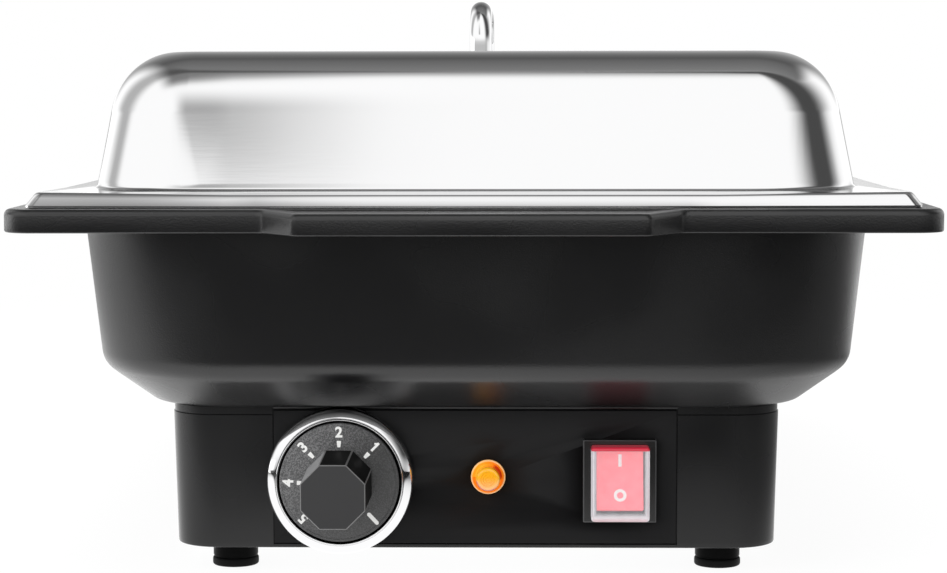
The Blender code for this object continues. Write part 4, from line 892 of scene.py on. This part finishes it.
def make_tub():
    opening = TUB_OPENING_OFFSET
    plate_under = RIM_TOP - RIM_PLATE
    gusset_z = plate_under - RIM_GUSSET
    wall = bowl_offset_at(gusset_z, 0)
    lip = RIM_OFFSET - RIM_LIP
    low_center = (RIM_OFFSET - RIM_LOW_ROUND, RIM_BOTTOM + RIM_LOW_ROUND)
    top_center = (RIM_OFFSET - RIM_ROUND, RIM_TOP - RIM_ROUND)
    floor_z = TUB_BOTTOM + TUB_WALL
    outer = [(opening + TUB_OPENING_CORNER, TUB_BOTTOM), *bowl_section(0), (wall, gusset_z),
             (wall + RIM_GUSSET, plate_under)]
    edge = [(lip, plate_under), (lip, RIM_BOTTOM),
            *arc(low_center, RIM_LOW_ROUND, -math.pi / 2, 0, ROUND_STEPS),
            (RIM_OFFSET, RIM_BOTTOM + RIM_HEIGHT / 2)]
    top = arc(top_center, RIM_ROUND, 0, math.pi / 2, FILLET_STEPS)
    inner = [(REBATE_OFFSET + REBATE_EDGE, RIM_TOP), (REBATE_OFFSET, RIM_TOP - REBATE_EDGE),
             (REBATE_OFFSET, LEDGE_LEVEL), (bowl_offset_at(LEDGE_LEVEL, TUB_WALL), LEDGE_LEVEL),
             *bowl_section(TUB_WALL)[::-1], (opening, floor_z)]
    loops = [plan_loop(opening, TUB_OPENING_CORNER, TUB_BOTTOM)]
    loops += bowl_loops(with_support(outer)[1:])
    loops += [rim_loop(offset, z) for offset, z in edge]
    loops += [rim_loop(offset, z, LEDGE_DIP) for offset, z in top]
    loops += [groove_loop(top_center[0] - inset, dips * LEDGE_DIP) for inset, dips in LEDGE_GROOVE]
    loops += bowl_loops(with_support(inner)[:-1])
    loops.append(plan_loop(opening, TUB_OPENING_CORNER, floor_z))
    finish_piece(skin("tub_moulding", loops, "tub"), "base", "black_plastic", "tub")


def make_water_pan():
    inset = TUB_WALL + WATER_PAN_CLEARANCE
    flange_z = LEDGE_LEVEL + GAP
    bend = WATER_PAN_CLEARANCE
    wall = bowl_offset_at(flange_z - bend, inset)
    turn = arc((wall + bend, flange_z - bend), bend, math.pi, math.pi / 2, FILLET_STEPS)
    section = [*bowl_section(inset), *turn, (REBATE_OFFSET - GAP, flange_z)]
    pan = skin("water_pan_steel", bowl_loops(sheet(section, WATER_PAN_STEEL)), "pan", capped=True)
    finish_piece(pan, "base", "pan_steel", "water_pan")


def make_food_pan():
    top = RIM_TOP + GAP
    floor_z = top - PAN_DEPTH
    mouth = -PAN_FLANGE
    foot = mouth - (top - floor_z) * math.tan(PAN_DRAFT)
    floor_center = (foot - PAN_FLOOR_BEND, floor_z + PAN_FLOOR_BEND)
    mouth_center = (mouth + PAN_BEND, top - PAN_BEND)
    section = arc(floor_center, PAN_FLOOR_BEND, -math.pi / 2, -PAN_DRAFT, BEND_STEPS)
    section += arc(mouth_center, PAN_BEND, math.pi - PAN_DRAFT, math.pi / 2, FILLET_STEPS)
    section.append((0.0, top))
    loops = []
    for offset, z in sheet(section, PAN_STEEL):
        flat = clamped((offset - mouth) / PAN_FLANGE)
        corner = (1 - flat) * (PAN_CORNER + offset - mouth) + flat * PAN_EDGE_CORNER
        loops.append(plan_loop(offset, corner, z))
    finish_piece(skin("food_pan_steel", loops, "pan", capped=True), "food_pan", "pan_steel", "food_pan")


# Lid


def dome_section():
    crease_z = LID_CREASE + LID_FLANGE_RISE
    crown_edge = arc((DOME_TOP_OFFSET, LID_TOP - DOME_EDGE_BEND), DOME_EDGE_BEND, DOME_DRAFT, math.pi / 2,
                     3 * BEND_STEPS)
    foot_z = crease_z + DOME_FOOT_BEND * (1 - math.sin(DOME_DRAFT))
    foot_offset = crown_edge[0][0] + (crown_edge[0][1] - foot_z) * math.tan(DOME_DRAFT)
    center = (foot_offset + DOME_FOOT_BEND * math.cos(DOME_DRAFT), crease_z + DOME_FOOT_BEND)
    foot = arc(center, DOME_FOOT_BEND, 3 * math.pi / 2, math.pi + DOME_DRAFT, FILLET_STEPS)
    return with_support(foot + crown_edge)


def dome_corner(offset, z):
    """Corner radius of the dome's plan, growing over the crown's bend and again down the wall."""
    share = min(1.0, (offset - DOME_TOP_OFFSET) / DOME_EDGE_BEND)
    crown = DOME_TOP_CORNER + share * (DOME_MIDDLE_CORNER - DOME_TOP_CORNER)
    below = clamped(1 - (z - LID_CREASE) / DOME_MIDDLE_RISE)
    return crown + below * (DOME_FOOT_CORNER - DOME_MIDDLE_CORNER)


def corner_lift(x, y):
    """Rise of the flange's outer edge towards its corners."""
    along = PAN_LENGTH / 2 + LID_SKIRT_OFFSET - abs(y)
    across = PAN_WIDTH / 2 + LID_SKIRT_OFFSET - abs(x)
    return LID_CORNER_LIFT * smooth(max(0.0, 1 - max(along, across) / LID_CORNER_LIFT_LENGTH))


def flared(points, share, height):
    """The loop pushed outwards at its corners, most at the dome's foot."""
    strength = DOME_FLARE * min(1.0, share) ** 2 * clamped(1 - height / DOME_FLARE_HEIGHT) ** 2
    half_x = max(x for x, y, z in points)
    half_y = max(y for x, y, z in points)
    result = []
    for (x, y, z), before, after in zip(points, points[-1:] + points, points[1:] + points[:1]):
        run = math.hypot(after[0] - before[0], after[1] - before[1])
        near = max(0.0, 1 - max(half_x - abs(x), half_y - abs(y)) / DOME_FLARE_LENGTH)
        reach = strength * smooth(near) / run
        result.append((x + reach * (after[1] - before[1]), y - reach * (after[0] - before[0]), z))
    return result


def make_lid():
    skirt = LID_SKIRT_OFFSET
    skirt_angle = math.atan2(LID_SKIRT_RUN, LID_SKIRT_HEIGHT - LID_HEM)
    lean = math.tan(skirt_angle)
    crease = skirt - LID_SKIRT_RUN - LID_CREASE_ROUND * math.tan((math.pi / 2 - skirt_angle) / 2)
    bend = arc((crease, LID_CREASE - LID_CREASE_ROUND), LID_CREASE_ROUND, skirt_angle, math.pi / 2,
               LID_CREASE_STEPS)
    edge, edge_z = bend[0]
    dome = dome_section()
    foot, foot_z = dome[0]
    section = [
        (skirt, LID_BOTTOM), (skirt, LID_BOTTOM + LID_HEM),
        (edge + LID_WAIST_DROP * lean - LID_WAIST_DEPTH, edge_z - LID_WAIST_DROP),
        (edge + LID_EDGE_DROP * lean + LID_EDGE_SWELL, edge_z - LID_EDGE_DROP), *bend,
        *[(crease + (foot - crease) * share, LID_CREASE + (foot_z - LID_CREASE) * share)
          for share in LID_FLANGE_STATIONS],
        *dome, *[(DOME_TOP_OFFSET - inset, dome[-1][1]) for inset in DOME_TOP_STATIONS],
    ]

    def loop(offset, z):
        share = (crease - offset) / (crease - foot)
        if share < 1:
            corner = LID_SKIRT_CORNER + (dome_corner(foot, z) - LID_SKIRT_CORNER) * max(0.0, share)
        elif offset > DOME_TOP_OFFSET:
            corner = dome_corner(offset, z)
        else:
            corner = DOME_TOP_CORNER + offset - DOME_TOP_OFFSET
        strength = clamped(1 - share) ** 2 * min(1.0, (z - LID_BOTTOM) / LID_CORNER_LIFT_START)
        narrow = DOME_SIDE_INSET * clamped(share) * clamped((offset - DOME_TOP_OFFSET) / DOME_EDGE_BEND)
        points = plan_loop(offset, corner, z, narrow, lift=lambda x, y: strength * corner_lift(x, y))
        return flared(points, max(0.0, share), z - foot_z)

    rows = [loop(*point) for point in inner_side(section, LID_STEEL)[::-1] + section]
    finish_piece(skin("lid_dome", rows, "lid", capped=True), "lid", "stainless", "lid_shell")


def make_handle():
    """Bent rod, swept in the YZ plane."""
    foot = LID_TOP + GAP
    half = HANDLE_SPAN / 2
    inner = half - HANDLE_BEND
    low = LID_TOP + HANDLE_RISE - HANDLE_RADIUS - HANDLE_BEND
    near = arc((-inner, low), HANDLE_BEND, math.pi, math.pi / 2, 2 * BEND_STEPS)
    far = arc((inner, low), HANDLE_BEND, math.pi / 2, 0, 2 * BEND_STEPS)
    route = with_support([(-half, foot), *near, *far, (half, foot)])
    rows = []
    for (y, z), before, after in zip(route, route[:1] + route, route[1:] + route[-1:]):
        direction = math.atan2(after[1] - before[1], after[0] - before[0])
        rows.append([(side, y - up * math.sin(direction), z + up * math.cos(direction))
                     for side, up in circle(HANDLE_RADIUS, SMALL_TURN_STEPS)])
    finish_piece(skin("lid_handle_rod", rows[::-1], "chrome", capped=True), "lid", "chrome", "lid_handle")


# Base


def make_base():
    band_z = BASE_TOP - BASE_BAND_HEIGHT
    under = BASE_TOP - BASE_FLANGE_THICKNESS
    step = BASE_BAND_STEP
    low = BASE_LOW_EDGE
    top = step + BASE_TOP_EDGE
    loops = []
    for inset, z, corner_inset in (
            (low, FOOT_HEIGHT, low), (0.3 * low, FOOT_HEIGHT + 0.3 * low, 0.3 * low),
            (0, FOOT_HEIGHT + low, 0), (0, FOOT_HEIGHT + low + SUPPORT, 0),
            (0, band_z - step - SUPPORT, 0), (0, band_z - step, 0),
            (0.8 * step, band_z - 0.2 * step, 0.8 * step), (step, band_z, step),
            (step, BASE_TOP - BASE_TOP_EDGE, step), (top, BASE_TOP, top),
            (BASE_FLANGE, BASE_TOP, BASE_WALL), (BASE_FLANGE, under, BASE_WALL),
            (BASE_WALL, under, BASE_WALL), (BASE_WALL, FOOT_HEIGHT, BASE_WALL)):
        narrow = BASE_SIDE_INSET + (BASE_TOP - z) / BASE_HEIGHT * BASE_SIDE_DRAFT
        loops.append(plan_loop(BASE_OFFSET - inset, BASE_CORNER - corner_inset, z, narrow))
    half = PANEL_WIDTH / 2 + GAP
    lip = PANEL_SEAT_LIP
    front = PANEL_FRONT - TOOL_REACH
    base = cut_out(
        skin("base_moulding", loops, "base"),
        box("pocket_tool", (-half, front, PANEL_LOW - GAP),
            (half, PANEL_FRONT + PANEL_THICKNESS + GAP, PANEL_HIGH + GAP), "base"),
        box("window_tool", (-half + lip, front, PANEL_LOW + lip),
            (half - lip, PANEL_FRONT + BASE_WALL + TOOL_REACH, PANEL_HIGH - lip), "base"),
        drill("gland_tool", GLAND_THREAD + GAP, -GLAND_TOOL_REACH, TOOL_REACH, "base", BACK_SEAT),
    )
    finish_piece(base, "base", "black_plastic", "base_housing")


def make_panel():
    half = PANEL_WIDTH / 2
    half_x = SWITCH_OPENING_WIDTH / 2 + SWITCH_HOLE_REACH
    half_z = SWITCH_OPENING_HEIGHT / 2 + SWITCH_HOLE_REACH
    panel = box("control_panel_insert", (-half, PANEL_FRONT, PANEL_LOW),
                (half, PANEL_FRONT + PANEL_THICKNESS, PANEL_HIGH), "panel")
    holes = (("collar_tool", KNOB_X, CONTROL_Z, COLLAR_HOLE_RADIUS),
             ("lamp_tool", LAMP_X, LAMP_Z, LAMP_HOLE_RADIUS))
    cut_out(
        bevel(panel, PANEL_EDGE),
        *[drill(name, radius, -PANEL_TOOL_REACH, TOOL_REACH, "panel", seat_at(x, z))
          for name, x, z, radius in holes],
        box("switch_tool", (SWITCH_X - half_x, PANEL_FRONT - TOOL_REACH, CONTROL_Z - half_z),
            (SWITCH_X + half_x, PANEL_FRONT + PANEL_TOOL_REACH, CONTROL_Z + half_z), "panel"),
    )
    finish_piece(panel, "base", "panel_plastic", "control_panel")


def make_feet():
    start = FOOT_PAD_HEIGHT + GAP
    stem_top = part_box("base_plate")[0].z - GAP
    r = FOOT_STEM_RADIUS
    waist = r - FOOT_GROOVE
    stem_profile = [
        (0, start), (waist, start), (waist, start + FOOT_GROOVE), (waist, start + 2 * FOOT_GROOVE),
        (r, start + 3 * FOOT_GROOVE), (r, stem_top - FOOT_STEM_EDGE), (r - FOOT_STEM_EDGE, stem_top),
        (0, stem_top),
    ]
    inner = FOOT_PAD_RADIUS - FOOT_PAD_ROUND
    pad_profile = [
        (0, 0), *arc((inner, FOOT_PAD_ROUND), FOOT_PAD_ROUND, -math.pi / 2, 0, ROUND_STEPS),
        *arc((inner, FOOT_PAD_HEIGHT - FOOT_PAD_ROUND), FOOT_PAD_ROUND, 0, math.pi / 2, ROUND_STEPS),
        (0, FOOT_PAD_HEIGHT),
    ]
    for index in range(1, 5):
        node = f"foot_pad_{index}"
        place = Matrix.Translation((middle(node, 0), middle(node, 1), 0))
        stem = moved(lathe(f"foot_collar_{index}", stem_profile, "foot"), place)
        finish_piece(stem, "base", "black_plastic", f"foot_stem_{index}")
        pad = moved(lathe(f"foot_rubber_{index}", pad_profile, "rubber"), place)
        finish_piece(pad, "base", "rubber", node)


# Turned pieces of the front and back, as (radius, height) in millimetres up their outer side


BEZEL_PROFILE = [
    (29.50, 0.3), (29.50, 3.6), (29.44, 4.8), (29.28, 5.45), (29.00, 5.92), (28.60, 6.40), (28.10, 6.86),
    (27.60, 7.26), (27.00, 7.68), (26.50, 8.00), (26.05, 8.26), (25.82, 8.34), (25.70, 8.18), (25.60, 8.18),
    (25.50, 8.46), (25.28, 8.84), (25.08, 8.94), (24.88, 8.88), (24.72, 8.6), (24.70, 8.2), (24.70, 0.3),
]
DIAL_PROFILE = [
    (0, 1.2), (6.0, 1.2), (6.0, 6.7), (23.9, 6.7), (23.9, 8.9), (23.6, 9.2), (22.9, 9.2), (22.8, 9.08),
    (22.5, 9.08), (22.4, 9.2), (20.9, 9.2), (10.0, 9.2), (0, 9.2),
]
LENS_PROFILE = [
    (0, -5.5), (4.8, -5.5), (4.8, 0.3), (6.75, 0.3), (6.95, 0.6), (6.95, 1.4),
    *arc((6.25, 1.4), 0.7, 0, math.pi / 2, 4), (5.8, 1.7), (5.3, 1.3), (4.9, 1.8),
    *arc((3.5, 7.1), 1.4, 0, math.pi / 2, 6), (3.0, 8.5), (2.8, 8.2), (2.5, 8.2), (2.3, 8.5),
    (2.0, 8.5), (1.8, 8.2), (1.5, 8.2), (1.3, 8.5), (1.0, 8.5), (0.8, 8.2), (0.5, 8.2), (0.3, 8.5), (0, 8.4),
]
GLAND_PROFILE = [
    (3.8, 5.0), (9.1, 5.0), (9.5, 5.4), (9.5, 12.0), (8.9, 14.5), (7.3, 17.2), (5.9, 18.6), (5.3, 19.0),
    (4.4, 19.0), (3.8, 18.4),
]


def in_metres(profile):
    return [(radius / 1000, height / 1000) for radius, height in profile]


# Controls


def make_bezel():
    bezel = lathe("knob_bezel_ring", in_metres(BEZEL_PROFILE), "chrome", 2 * TURN_STEPS, sharp=50.0)
    finish_piece(moved(bezel, seat_at(KNOB_X, CONTROL_Z)), "base", "chrome", "knob_bezel")


def make_knob():
    seat = seat_at(KNOB_X, CONTROL_Z)
    dial = moved(lathe("knob_dial", in_metres(DIAL_PROFILE), "dial", TURN_STEPS), seat)
    finish_piece(dial, "knob", "knob_plastic", "knob")
    grip = prism("knob_grip", GRIP_SIDES, GRIP_ACROSS, GRIP_ACROSS - GRIP_TAPER, DIAL_FACE - GRIP_SINK,
                 DIAL_FACE + GRIP_HEIGHT, "grip")
    # the bevelled edges get the painted highlight
    moved(bevel(grip, GRIP_EDGE, 2, mat="painted_edge_highlight"), seat)
    finish_piece(apply_modifiers(grip), "knob", "knob_plastic", "knob")
    make_marks(seat)


def add_text(name, body, size, matrix):
    curve = bpy.data.curves.new(name, "FONT")
    curve.body = body
    curve.size = size
    curve.extrude = NUMBER_HALF_THICKNESS
    curve.offset = size * NUMBER_BOLDNESS
    curve.align_x = "CENTER"
    curve.align_y = "CENTER"
    guide = add_object(name + "_guide", curve)
    mesh = final_mesh(guide)
    bpy.data.objects.remove(guide, do_unlink=True)
    mesh.materials.clear()
    mesh.materials.append(MATS["print_with_painted_glow"])
    return moved(add_object(name, mesh), matrix)


def tapered_bar(name, low, high, low_half, high_half, height, cut_corner):
    """Flat printed bar along Y with its corners cut."""
    outline = []
    for side, end, half, inward in ((-1, low, low_half, 1), (1, low, low_half, 1),
                                    (1, high, high_half, -1), (-1, high, high_half, -1)):
        corner = [(side * half, end + inward * cut_corner), (side * (half - cut_corner), end)]
        outline += corner if side * inward < 0 else corner[::-1]
    levels = (height - MARK_HALF_THICKNESS, height + MARK_HALF_THICKNESS)
    return skin(name, [[(x, y, z) for x, y in outline] for z in levels], "print_with_painted_glow", capped=True)


def make_marks(seat):
    """Printed numbers, ticks and the off bar, standing just proud of the dial."""
    height = DIAL_FACE + MARK_LIFT

    def turned(angle):
        return seat @ Matrix.Rotation(math.radians(angle - 90), 4, "Z")

    marks = []
    for number, angle in enumerate(NUMBER_ANGLES, 1):
        place = turned(angle) @ Matrix.Translation((0, NUMBER_RADIUS, height))
        marks.append(add_text(f"dial_number_{number}", str(number), NUMBER_SIZE, place))
        if number == 1:
            flag = box("dial_number_flag", [-size for size in FLAG_HALF_SIZE], FLAG_HALF_SIZE, "print_with_painted_glow")
            flag_place = place @ Matrix.Translation(FLAG_PLACE) @ Matrix.Rotation(FLAG_TURN, 4, "Z")
            marks.append(moved(flag, flag_place))
        if number < len(NUMBER_ANGLES):
            marks.append(moved(tapered_bar(f"dial_tick_{number}", *TICK, height, TICK_CUT), turned(angle)))
    marks.append(moved(tapered_bar("dial_off_bar", *OFF_BAR, height, OFF_BAR_CUT), turned(OFF_ANGLE)))
    for mark in marks:
        finish_piece(mark, "knob", "knob_plastic")


def make_lamp():
    lens = lathe("pilot_lens_cap", in_metres(LENS_PROFILE), "lens", TURN_STEPS)
    finish_piece(moved(lens, seat_at(LAMP_X, LAMP_Z)), "base", "amber_lens", "pilot_lens")


def make_switch():
    seat = seat_at(SWITCH_X, CONTROL_Z)

    def block(name, half_x, half_y, low, high, mat):
        return box(name, (-half_x, -half_y, low), (half_x, half_y, high), mat)

    open_x = SWITCH_OPENING_WIDTH / 2
    open_y = SWITCH_OPENING_HEIGHT / 2
    depth = SWITCH_FRAME_DEPTH
    plate = block("switch_bezel", SWITCH_WIDTH / 2, SWITCH_HEIGHT / 2, GAP, depth, "frame")
    cut_out(plate, block("opening_tool", open_x, open_y, -TOOL_REACH, depth + TOOL_REACH, "frame"))
    # the bevelled edges get the painted highlight
    moved(apply_modifiers(bevel(plate, SWITCH_FRAME_EDGE, mat="frame_edge_painted_highlight")), seat)
    finish_piece(plate, "base", "black_plastic", "switch_frame")
    low = depth + GAP
    high = low + BOOT_DEPTH
    inner_x = open_x + BOOT_SIDE_REACH
    inner_y = open_y + BOOT_SIDE_REACH
    boot = block("splash_boot", inner_x + BOOT_WALL, inner_y + BOOT_WALL, low, high, "boot")
    hollow = block("hollow_tool", inner_x, inner_y, low - TOOL_REACH, high - BOOT_WALL, "boot")
    apply_modifiers(bevel(boot, BOOT_EDGE, 4))
    moved(cut_out(boot, bevel(hollow, BOOT_INNER_EDGE)), seat)
    finish_piece(boot, "base", "clear_boot", "switch_boot")


def make_rocker():
    tilt = seat_at(SWITCH_X, CONTROL_Z, PANEL_FRONT - ROCKER_PIVOT_DEPTH)
    tilt = tilt @ Matrix.Rotation(-ROCKER_THROW / 2, 4, "X")
    half_x = SWITCH_OPENING_WIDTH / 2 - ROCKER_SIDE_GAP
    half_y = SWITCH_OPENING_HEIGHT / 2 - ROCKER_END_GAP
    middle_z = ROCKER_RISE - ROCKER_DIP
    outline = [
        (half_y, -ROCKER_BACK), (half_y, ROCKER_RISE), (0, middle_z), (-half_y, ROCKER_RISE),
        (-half_y, -ROCKER_BACK), (0, -ROCKER_NOSE),
    ]
    rows = [[(x, y, z) for y, z in outline] for x in (half_x, -half_x)]
    rocker = skin("rocker_lit", rows, "rocker", capped=True, sharp=20.0)
    moved(apply_modifiers(bevel(rocker, ROCKER_EDGE, angle=20.0)), tilt)
    finish_piece(rocker, "rocker", "red_rocker", "rocker")
    low, high = -ROCKER_MARK_SINK, ROCKER_MARK_RISE
    on_mark = box("rocker_on_mark", (-ON_MARK_HALF_WIDTH, ON_MARK_ENDS[0], low),
                  (ON_MARK_HALF_WIDTH, ON_MARK_ENDS[1], high), "print_with_painted_glow")
    apply_modifiers(bevel(on_mark, ON_MARK_EDGE, 1))
    inner, outer = OFF_MARK_RADII
    off_mark = lathe("rocker_off_mark", [(inner, low), (outer, low), (outer, high), (inner, high)], "print_with_painted_glow")
    moved(off_mark, Matrix.Translation((0, OFF_MARK_PLACE, 0)))
    slope = math.atan2(ROCKER_DIP, half_y)
    for mark, turn in ((on_mark, slope), (off_mark, -slope)):
        moved(mark, tilt @ Matrix.Translation((0, 0, middle_z)) @ Matrix.Rotation(turn, 4, "X"))
        finish_piece(mark, "rocker", "red_rocker")


# Back


def make_gland():
    flange = prism("gland_flange", 6, GLAND_ACROSS, GLAND_ACROSS, GAP, GLAND_FLANGE_DEPTH, "foot")
    moved(apply_modifiers(bevel(flange, GLAND_EDGE, 2)), BACK_SEAT)
    finish_piece(flange, "base", "black_plastic", "cable_gland")
    rows = []
    for radius, height in in_metres(GLAND_PROFILE):
        row = circle(radius, TURN_STEPS)
        if radius > GLAND_RIB_RADIUS:
            grooved = circle(radius - GLAND_RIB_DEPTH, TURN_STEPS)
            for step in range(TURN_STEPS):
                if step % GLAND_RIB_EVERY < GLAND_RIB_STEPS:
                    row[step] = grooved[step]
        rows.append([(x, y, height) for x, y in row])
    dome = moved(skin("gland_dome", rows, "foot"), BACK_SEAT)
    finish_piece(dome, "base", "black_plastic", "cable_gland")


# Finish of the CAD nodes that stay as they are
NODE_FINISHES = {
    "zinc": ("base_plate", "base_screw", "tub_screw", "foot_nut", "handle_screw", "handle_washer",
             "heater_clamp", "heater_nut", "thermostat_screw", "thermostat_shaft", "heating_element"),
    "foot": ("switch_body", "gland_nut", "thermal_cutout"),
    "pale": ("thermostat_body", "pilot_body", "terminal_block"),
    "aluminium": ("heater_plate",),
    "copper": ("sensor_bulb",),
}


def finish_nodes():
    for mat, starts in NODE_FINISHES.items():
        for name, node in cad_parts.items():
            if name.startswith(starts):
                for place in node.material_slots:
                    place.material = MATS[mat]


# Stage, light and camera


def make_world():
    world = bpy.data.worlds.new("studio")
    bpy.context.scene.world = world
    world.use_nodes = True
    world.cycles.sampling_method = "NONE"
    nodes = Nodes(world.node_tree, world.node_tree.nodes["Background"])
    x, y, z = nodes.split(nodes.place("Generated"))
    front = nodes.times(y, -1.0)
    over = nodes.degrees("ARCTAN2", z, front)
    around = nodes.degrees("ARCTAN2", x, front)
    sideways = nodes.degrees("ARCSINE", x)
    height = nodes.degrees("ARCSINE", z)

    tilt = nodes.times(nodes.ramp(x, *TILT_SIDE, CEILING_TILT, 0.0), nodes.fall(over, *TILT_OVER))
    tilted = nodes.math("DIVIDE", nodes.math("ADD", over, tilt), 180.0)
    ceiling = nodes.table(tilted, [(angle / 180, level) for angle, level in CEILING_LEVELS])
    ceiling = nodes.blend(nodes.ramp(sideways, *LEFT_OPEN), 1.0, ceiling)
    right_open = nodes.times(nodes.ramp(sideways, *RIGHT_OPEN), nodes.fall(height, *RIGHT_OPEN_HEIGHT))
    ceiling = nodes.blend(right_open, ceiling, 1.0)

    card = nodes.times(nodes.band(around, *CARD_AROUND), nodes.ramp(height, *CARD_HEIGHT))
    blob = nodes.times(nodes.band(x, *BLOB_SIDE), nodes.band(height, *BLOB_HEIGHT),
                       nodes.ramp(front, *BLOB_FRONT))
    strip = nodes.times(nodes.band(around, *STRIP_AROUND),
                        nodes.ramp(height, *STRIP_HEIGHT, 0.0, STRIP_DEPTH))
    behind = nodes.times(nodes.ramp(nodes.math("ABSOLUTE", around), *BEHIND_AROUND),
                         nodes.ramp(height, *BEHIND_HEIGHT, BEHIND_DEPTH, 0.0))
    low_front = nodes.blend(nodes.ramp(front, *LOW_FRONT), 1.0,
                            nodes.ramp(height, *LOW_FRONT_HEIGHT, LOW_FRONT_LEVEL, 1.0))
    softbox = nodes.times(nodes.band(around, *SOFTBOX_AROUND), nodes.fall(height, *SOFTBOX_HEIGHT))
    level = nodes.times(
        nodes.math("MINIMUM", ceiling, nodes.blend(card, 1.0, CARD_LEVEL)),
        nodes.minus(1.0, nodes.times(blob, BLOB_DEPTH)),
        nodes.minus(1.0, nodes.math("ADD", strip, behind)),
        low_front,
        nodes.blend(softbox, REFLECTED_LEVEL, SOFTBOX_GAIN * REFLECTED_LEVEL),
    )
    rays = nodes.new("LightPath").outputs
    seen = nodes.blend(rays["Is Glossy Ray"], DIFFUSE_LEVEL, level)
    plain = nodes.math("MAXIMUM", rays["Is Camera Ray"], rays["Is Transmission Ray"])
    nodes.shade(Strength=nodes.blend(plain, seen, 1.0), Color=(1.0, 1.0, 1.0, 1.0))


def make_floor():
    mat = bpy.data.materials.new("floor_white")
    mat.use_nodes = True
    mat.cycles.emission_sampling = "NONE"
    mat.node_tree.nodes.clear()
    nodes = Nodes(mat.node_tree)
    rays = nodes.new("LightPath").outputs

    def emission(strength):
        return nodes.new("Emission", {"Color": (1.0, 1.0, 1.0, 1.0), "Strength": strength}).outputs[0]

    def diffuse(level):
        return nodes.new("BsdfDiffuse", {"Color": (level, level, level, 1.0)}).outputs[0]

    def mixed(share, first, second):
        return nodes.new("MixShader", enumerate((share, first, second))).outputs[0]

    x, y, _ = nodes.split(nodes.place())
    left = nodes.times(nodes.ramp(x, *FLOOR_LEFT), nodes.ramp(x, *FLOOR_FAR_LEFT))
    right = nodes.math("MAXIMUM", nodes.ramp(x, *FLOOR_RIGHT), nodes.ramp(y, *FLOOR_RIGHT_BACK))
    reflected = nodes.times(nodes.ramp(y, *FLOOR_NEAR), left, right, nodes.ramp(y, *FLOOR_BACK))
    far = nodes.ramp(nodes.length(x, y), *FLOOR_FADE)
    near = nodes.new("AddShader", enumerate((emission(FLOOR_GLOW), diffuse(FLOOR_SHADE)))).outputs[0]
    camera = mixed(far, near, emission(1.0))
    other = mixed(rays["Is Glossy Ray"], diffuse(FLOOR_WHITE), emission(reflected))
    nodes.new("OutputMaterial", {"Surface": mixed(rays["Is Camera Ray"], other, camera)})
    corners = [(x * FLOOR_REACH, y * FLOOR_REACH, 0) for x, y in ((-1, -1), (1, -1), (1, 1), (-1, 1))]
    floor = add_mesh("floor", corners, [(0, 1, 2, 3)], mat)


def add_lamp(name, place, target, size, power):
    data = bpy.data.lights.new(name, "AREA")
    data.shape = "DISK"
    data.size = size
    data.energy = power
    lamp = add_object(name, data)
    lamp.location = place
    lamp.rotation_euler = (Vector(target) - Vector(place)).to_track_quat("-Z", "Y").to_euler()
    lamp.visible_glossy = False


def make_lights():
    add_lamp("key_lamp", (-1.25, -1.45, 0.80), (0, -0.2, 0.05), 1.9, 18.0)
    add_lamp("top_lamp", (0.0, 0.1, 1.8), (0, 0, 0), 1.8, 14.0)


def make_camera():
    data = bpy.data.cameras.new("camera")
    data.lens = CAMERA_LENS
    data.clip_start, data.clip_end = CAMERA_RANGE
    camera = add_object("camera", data)
    camera.location = CAMERA_PLACE
    turn = Matrix.Rotation(CAMERA_YAW, 3, "Z") @ Matrix.Rotation(math.pi / 2 - CAMERA_PITCH, 3, "X")
    camera.rotation_euler = (turn @ Matrix.Rotation(CAMERA_ROLL, 3, "Z")).to_euler()
    bpy.context.scene.camera = camera


def write_sizes():
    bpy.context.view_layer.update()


bpy.context.scene.view_settings.view_transform = "Standard"
for make in (make_camera, make_tub, make_water_pan, make_food_pan, make_lid, make_handle, make_base,
             make_panel, make_feet, make_bezel, make_knob, make_lamp, make_switch, make_rocker, make_gland,
             finish_nodes, make_world, make_floor, make_lights):
    make()
write_sizes()
